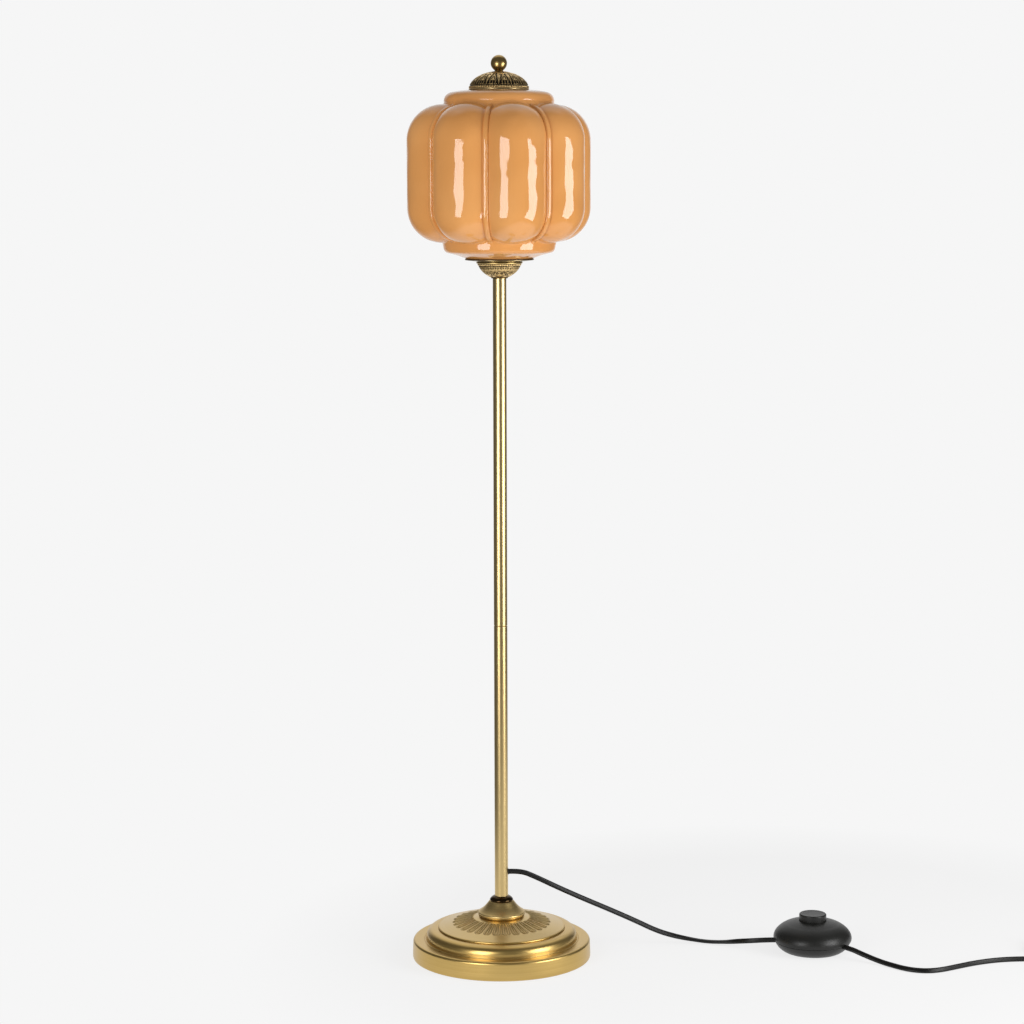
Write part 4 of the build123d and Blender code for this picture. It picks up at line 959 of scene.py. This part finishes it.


# Dish that the glass stands in: spun brass with a folded edge and a rubber ring. Its brass is made dark:
# partly its own browned colour, partly painted shade for the shadow under the glass.
dish_low = cup_high
dish_outline = (
    [(dish_bore, dish_low + 2.3), (35.2, dish_low + 2.6), (44.0, dish_low + 4.0), (51.6, dish_low + 5.0)]
    + arc((52.3, dish_low + 5.7), 0.7, -80, 95, 5)
    + [(45.5, dish_low + 5.8), (37.9, dish_low + 4.6), (dish_bore, dish_low + 2.3)]
)
# Dark brass: browned, and also painted shade under the glass's bottom.
dark_dish_brass = brushed_brass(
    "browned bright brass", light=(0.34, 0.27, 0.15), deep=(0.26, 0.20, 0.10),
    fineness=400, depth=0.05, rough=(0.14, 0.2),
)
placed("glass_dish", spun(dish_outline), dark_dish_brass, replaced=["shade_dish"])
dress(black_rubber, "shade_gasket", "cap_gasket")


# Lampholder, bulb and bow: they can't be seen through the glass, and their solids are kept.
frosted, shader = new_finish(
    "frosted bulb glass", Base_Color=(0.9, 0.88, 0.82, 1), Roughness=0.5, Transmission_Weight=0.6, IOR=1.45
)
bulb_metal = grained(
    "bright bulb cap", (0.75, 0.75, 0.73), scale=300, depth=0.2,
    rough=(0.25, 0.35), Metallic=1.0,
)
dress(frosted, "bulb_glass")
dress(bulb_metal, "bulb_cap")
dress(white_plastic, "bulb_stem", "holder_insulator")
dress(plain_brass, "holder_cap", "holder_sleeve", "screw_shell", "centre_contact")
dress(plain_brass, "harp_bow", "harp_hub", "harp_saddle", "harp_ferrules", "harp_spacer")
dress(zinc, "shade_locknut")


# Shade: mould-blown opaque amber glass, white inside and flashed with caramel outside, in
# eight lobes with a rounded rib over each seam and a collar above and below. Its outside
# is fire-polished, so that lights show in it as slightly wavy strips.
lobes = 8
lobe_turn = 13.5
lobe_centre = 89.5
lobe_r = 52.5
glass_wall = 3.5
lower_z = 1171.4
upper_z = 1271.9
lower_round = 53.0
upper_round = 54.5
seam_full = 12.0
rib_half = 4.2
rib_r = 129.0
rib_round = 3.2
collar_r = 87.2
glass_low = 1093.4
glass_high = 1347.4
upper_hole = 40.0
lower_hole = 44.5
inner_r = 84.5
inner_shoulder = 72.0
diagonal = 0.7
wall_across = 2.4
wall_end = 3.4
seam_stop = 0.86


def lobe_reach(turn):
    side = lobe_centre * sin(turn)
    return lobe_centre * cos(turn) + sqrt(lobe_r**2 - side**2)


half_pitch = pi / lobes
crest = lobe_reach(0)
shoulder_rows = 26
side_rows = 10
lobe_columns = 26
rib_lines = [-4.2, -4.0, -3.5, -2.7, -1.8, -0.6, 0.6, 1.8, 2.7, 3.5, 4.0, 4.2]
columns = [("lobe", -1 + 2 * k / lobe_columns) for k in range(lobe_columns + 1)]
columns += [("rib", line) for line in rib_lines]
turn_fixes = 3
most_rib_sine = 0.2


def shoulder(turn, upper):
    """Centre radius and rounding of a lobe's shoulder at an angle from the lobe's middle."""
    moved = seam_full * (turn / half_pitch) ** 2
    round_r = upper_round if upper else lower_round
    centre = crest - round_r - moved
    return centre, lobe_reach(turn) - centre


def lobe_point(share, row):
    """Place on a lobe: share across it, -1 to 1, and row up the section."""
    turn = share * (half_pitch - asin(rib_half / (rib_r - rib_round)))
    for _ in range(turn_fixes):
        radius, height = section_point(*shoulder_pair(turn), row)
        turn = share * (half_pitch - asin(min(most_rib_sine, rib_half / radius)))
    return radius, height, turn


def shoulder_pair(turn):
    return (*shoulder(turn, False), *shoulder(turn, True))


def section_point(lower_c, lower_r, upper_c, upper_r, row):
    """Radius and height along the body's section: lower shoulder, side, upper shoulder."""
    low_start = acos(max(0.0, (collar_r - lower_c) / lower_r)) if collar_r > lower_c else pi / 2
    high_end = acos(max(0.0, (collar_r - upper_c) / upper_r)) if collar_r > upper_c else pi / 2
    if row <= shoulder_rows:
        angle = low_start * (1 - row / shoulder_rows)
        return lower_c + lower_r * cos(angle), lower_z - lower_r * sin(angle)
    if row < shoulder_rows + side_rows:
        share = (row - shoulder_rows) / side_rows
        return lower_c + lower_r, lower_z + (upper_z - lower_z) * share
    angle = high_end * (row - shoulder_rows - side_rows) / shoulder_rows
    return upper_c + upper_r * cos(angle), upper_z + upper_r * sin(angle)


def rib_point(line, row):
    """Place on a rib: distance from the seam's plane, in millimetres, and row up the section."""
    drop = 0.0
    flat = rib_half - rib_round
    if abs(line) > flat:
        drop = rib_round - sqrt(max(0.0, rib_round**2 - (abs(line) - flat) ** 2))
    lower_c = crest - lower_round - seam_full
    upper_c = crest - upper_round - seam_full
    across, height = section_point(lower_c, rib_r - lower_c - drop, upper_c, rib_r - upper_c - drop, row)
    return hypot(across, line), height, atan2(line, across)


body_rows = 2 * shoulder_rows + side_rows
lower_collar = [(lower_hole, glass_low), (49.5, glass_low), (54.6, glass_low + 2.0), (65.2, glass_low + 5.8)]
lower_collar += arc((76.6, glass_low + 17.5), 8.6, -68, -11, 8) + [(86.6, glass_low + 23.8)]
upper_collar = [(83.4, glass_high - 20.6)] + arc((70.4, glass_high - 16.2), 13.4, 2, 80, 9)
upper_collar += [(60.2, glass_high - 0.6), (48.0, glass_high), (upper_hole, glass_high)]
inner_rows = 24
all_rows = len(lower_collar) + body_rows + 1 + len(upper_collar) + inner_rows


def inner_section(share, turn):
    """Inside of the glass, from the upper hole down to the lower one, in a plane through the axis."""
    lower_c, lower_r, upper_c, upper_r = shoulder_pair(min(abs(turn), half_pitch * seam_stop))
    stations = [
        (upper_hole, glass_high - 4.0),
        (inner_shoulder, glass_high - 7.0),
        (inner_r, glass_high - 18.0),
        (inner_r, upper_z + upper_r - wall_end),
        (upper_c + diagonal * upper_r - wall_across, upper_z + diagonal * upper_r - wall_across),
        (upper_c + upper_r - glass_wall, upper_z),
        (lower_c + lower_r - glass_wall, lower_z),
        (lower_c + diagonal * lower_r - wall_across, lower_z - diagonal * lower_r + wall_across),
        (inner_r, lower_z - lower_r + wall_end),
        (inner_r, glass_low + 17.0),
        (inner_shoulder, glass_low + 8.5),
        (lower_hole, glass_low + 4.0),
    ]
    step = share * (len(stations) - 1)
    low = min(int(step), len(stations) - 2)
    part = step - low
    a, b = stations[low], stations[low + 1]
    return a[0] + (b[0] - a[0]) * part, a[1] + (b[1] - a[1]) * part


def glass_spot(u, v):
    """Place of a vertex of the glass: u round the axis, v up the outside and down the inside."""
    column = round(u * lobes * len(columns))
    lobe_index, within = divmod(column, len(columns))
    kind, value = columns[within]
    row = round(v * all_rows)
    body_start = len(lower_collar)
    body_row = min(max(row - body_start, 0), body_rows)
    if kind == "lobe":
        middle = lobe_index * tau / lobes
        radius, height, turn = lobe_point(value, body_row)
    else:
        middle = (lobe_index + 0.5) * tau / lobes
        radius, height, turn = rib_point(value, body_row)
    if row < body_start:
        radius, height = lower_collar[row]
    elif row > body_start + body_rows:
        step = row - body_start - body_rows - 1
        if step < len(upper_collar):
            radius, height = upper_collar[step]
        else:
            share = (step - len(upper_collar)) / inner_rows
            from_lobe = turn if kind == "lobe" else half_pitch
            radius, height = inner_section(min(1.0, share), from_lobe)
    angle = middle + turn + radians(lobe_turn - 90)
    return Vector((radius * cos(angle), radius * sin(angle), height))


shade_shape = wrapped(lobes * len(columns), all_rows, glass_spot)
bridge = [edge for edge in shade_shape.edges if edge.is_boundary]
bmesh.ops.bridge_loops(shade_shape, edges=bridge)
bmesh.ops.recalc_face_normals(shade_shape, faces=shade_shape.faces)

amber_glass, shader = new_finish("opaque amber glass", Roughness=0.06, IOR=1.5, Specular_IOR_Level=0.7)
tree = amber_glass.node_tree
place = add_node(tree, "TexCoord")
stretch = add_node(tree, "Mapping", Vector=place.outputs["Object"], Scale=(1, 1, 0.8))
waves = add_node(tree, "TexNoise", Vector=stretch.outputs["Vector"], Scale=30)
waves.inputs["Detail"].default_value = 1.0
ripple = add_node(tree, "Bump", Height=waves.outputs["Fac"], Strength=1.0, Distance=0.0020)
cloud = add_node(tree, "TexNoise", Vector=place.outputs["Object"], Scale=9)
melt = add_node(tree, "MapRange", Value=cloud.outputs["Fac"], From_Min=0.3, From_Max=0.7)
amber = add_node(tree, "MixRGB", Fac=melt.outputs["Result"], Color1=(0.72, 0.315, 0.088, 1),
                 Color2=(0.80, 0.375, 0.120, 1))
join(amber_glass, ripple.outputs["Normal"], shader.inputs["Normal"])
join(amber_glass, amber.outputs["Color"], shader.inputs["Base Color"])
placed("lobed_glass", shade_shape, amber_glass, replaced=["glass_shade"])


# Cap: a pressed brass dome like the cup below, with a beaded hem that rests on a rubber ring.
cap_low = 1348.4
cap_r = 45.9
cap_rise = 27.4
cap_sweep = 0.92


def cap_spot(v):
    """Section of the cap: a low dome, from its hem up to its crown."""
    turn = v * cap_sweep * pi / 2
    height = cap_low + cap_rise * sin(turn) / sin(cap_sweep * pi / 2)
    return (cap_r * cos(turn), height), (cos(turn), sin(turn))


cap_shape = pressed(
    cap_spot, rows=84, columns=520, cells=14, seed=9.0, rise=1.0, bead_row=(0.055, 0.14), bead_count=72
)
placed("leaf_cap", cap_shape, antique_brass, replaced=["top_cap"])


# Finial: a polished brass ball on a short neck, tapped to screw on the bow's stud. It
# presses the cap and the glass down.
ball_r = 12.4
ball_z = 1387.8
neck_low = 1375.8
ball_outline = (
    [(3.2, neck_low), (6.6, neck_low), (6.9, neck_low + 0.5), (6.4, neck_low + 1.0), (5.4, neck_low + 1.4)]
    + arc((0, ball_z), ball_r, -63, 90, 40)
)
finial_brass = brushed_brass(
    "buffed brass", light=(0.52, 0.36, 0.14), deep=(0.44, 0.29, 0.10),
    fineness=300, depth=0.05, rough=(0.26, 0.32),
)
placed(
    "ball_nut", spun(ball_outline, SMALL_STEPS), finial_brass, body="finial",
    replaced=["finial"],
)


# Studio: a round sheet of pale paper under the lamp that fades out at its edge, a pale
# backdrop, and a tall softbox on each side of the camera. Each softbox shows as an upright
# stripe on the glass and the brass. The camera sees the backdrop all round. Metal and glass
# see it behind the lamp, and a dim room elsewhere.
PAPER = 0.9216
FLOOR_LIT = 0.70
SHEET_R = 1.3
SHEET_MIDDLE = 0.44
ROOM_LIGHT = 0.34
ROOM_DARK = 0.12
SHADOW_SHARE = 0.22
SHADOW_FULL = 0.60
SHADOW_END = 0.85
BACKDROP_FULL = 0.30
BACKDROP_END = 0.60
BACKDROP_RISE = 0.3


def shows_background(tree, ray):
    """1 for the rays that see the pale background: camera, glossy and transmission rays."""
    shiny = maths(tree, "MAXIMUM", ray.outputs["Is Glossy Ray"], ray.outputs["Is Transmission Ray"])
    return maths(tree, "MAXIMUM", ray.outputs["Is Camera Ray"], shiny)


def build_floor():
    """Paper at the background's level that keeps the lamp's shadow and fades out at its edge."""
    finish, shader = new_finish(
        "pale floor", Base_Color=(0.85, 0.85, 0.85, 1), Roughness=1.0, Specular_IOR_Level=0.0
    )
    tree = finish.node_tree
    place = add_node(tree, "TexCoord")
    away = add_node(tree, "VectorMath")
    away.operation = "DISTANCE"
    tree.links.new(place.outputs["Object"], away.inputs[0])
    away.inputs[1].default_value = (SHEET_MIDDLE, 0, 0)
    share = add_node(
        tree, "MapRange", Value=away.outputs["Value"], From_Min=SHADOW_FULL,
        From_Max=SHADOW_END, To_Min=SHADOW_SHARE, To_Max=0.0,
    )
    edge = add_node(
        tree, "MapRange", Value=away.outputs["Value"], From_Min=SHADOW_END, From_Max=SHEET_R
    )
    paper = add_node(tree, "Emission", Strength=PAPER)
    rest = add_node(tree, "Emission", Strength=PAPER - FLOOR_LIT)
    lit = add_node(tree, "AddShader")
    tree.links.new(shader.outputs["BSDF"], lit.inputs[0])
    tree.links.new(rest.outputs["Emission"], lit.inputs[1])
    seen = add_node(tree, "MixShader", Fac=share.outputs["Result"])
    tree.links.new(paper.outputs["Emission"], seen.inputs[1])
    tree.links.new(lit.outputs["Shader"], seen.inputs[2])
    ray = add_node(tree, "LightPath")
    blend = add_node(tree, "MixShader", Fac=shows_background(tree, ray))
    tree.links.new(shader.outputs["BSDF"], blend.inputs[1])
    tree.links.new(seen.outputs["Shader"], blend.inputs[2])
    beyond = add_node(tree, "BsdfTransparent")
    faded = add_node(tree, "MixShader", Fac=edge.outputs["Result"])
    tree.links.new(blend.outputs["Shader"], faded.inputs[1])
    tree.links.new(beyond.outputs["BSDF"], faded.inputs[2])
    tree.links.new(faded.outputs["Shader"], tree.nodes["Material Output"].inputs["Surface"])
    return finish


floor_shape = bmesh.new()
bmesh.ops.create_circle(floor_shape, cap_ends=True, segments=64, radius=SHEET_R)
bmesh.ops.translate(floor_shape, vec=(SHEET_MIDDLE, 0, 0), verts=floor_shape.verts)
floor_mesh = bpy.data.meshes.new("floor")
floor_shape.to_mesh(floor_mesh)
floor_shape.free()
floor_mesh.materials.append(build_floor())
floor = bpy.data.objects.new("floor", floor_mesh)
bpy.context.scene.collection.objects.link(floor)

world = bpy.data.worlds.new("studio")
bpy.context.scene.world = world
world.use_nodes = True
tree = world.node_tree
back = tree.nodes["Background"]
back.inputs["Color"].default_value = (1, 1, 1, 1)
ray = add_node(tree, "LightPath")
place = add_node(tree, "TexCoord")
way = add_node(tree, "SeparateXYZ", Vector=place.outputs["Generated"])
aside = maths(tree, "ABSOLUTE", way.outputs["X"])
width = add_node(
    tree, "MapRange", Value=aside, From_Min=BACKDROP_FULL, From_Max=BACKDROP_END,
    To_Min=1.0, To_Max=0.0,
)
behind = add_node(
    tree, "MapRange", Value=way.outputs["Y"], From_Min=0.0, From_Max=BACKDROP_RISE,
    To_Max=width.outputs["Result"],
)
backdrop = maths(tree, "MAXIMUM", ray.outputs["Is Camera Ray"], behind.outputs["Result"])
dim = add_node(tree, "Mix", Factor=ray.outputs["Is Glossy Ray"], A=ROOM_LIGHT, B=ROOM_DARK)
room = add_node(tree, "Mix", Factor=backdrop, A=dim.outputs["Result"], B=PAPER)
level = add_node(
    tree, "Mix", Factor=shows_background(tree, ray), A=ROOM_LIGHT, B=room.outputs["Result"]
)
tree.links.new(level.outputs["Result"], back.inputs["Strength"])


POWER_SHARE = 4


def softbox(name, azimuth, distance, wide, low, high, lean, level):
    """Rectangular light at an angle from the camera's side of the lamp, facing the pole and leaning."""
    light = bpy.data.lights.new(name, "AREA")
    light.shape = "RECTANGLE"
    light.size = wide
    light.size_y = high - low
    light.energy = level * POWER_SHARE * wide * (high - low)
    lamp = bpy.data.objects.new(name, light)
    turn = radians(azimuth)
    lamp.location = (distance * sin(turn), -distance * cos(turn), (low + high) / 2)
    lamp.rotation_euler = (pi / 2, radians(lean), turn)
    bpy.context.scene.collection.objects.link(lamp)
    return lamp


softbox("left softbox", azimuth=-30.0, distance=2.0, wide=0.90, low=0.10, high=1.42, lean=14, level=4.6)
softbox("right softbox", azimuth=62.0, distance=2.0, wide=1.00, low=0.10, high=1.42, lean=14, level=5.2)

# The camera's place, lens and turns are fitted to the outline in the photo.
CAMERA_PLACE = (0.0181, -4.05, 1.215)
CAMERA_LENS = 93.037
CAMERA_DOWN = 7.1844
CAMERA_ROLL = -0.15
camera_data = bpy.data.cameras.new("camera")
camera_data.sensor_width = 36
camera_data.lens = CAMERA_LENS
camera_data.clip_end = 100
camera = bpy.data.objects.new("camera", camera_data)
camera.location = CAMERA_PLACE
tilt = Matrix.Rotation(radians(90 - CAMERA_DOWN), 3, "X")
roll = Matrix.Rotation(radians(CAMERA_ROLL), 3, "Z")
camera.rotation_euler = (tilt @ roll).to_euler()
bpy.context.scene.collection.objects.link(camera)
bpy.context.scene.camera = camera
bpy.context.scene.view_settings.view_transform = "Standard"
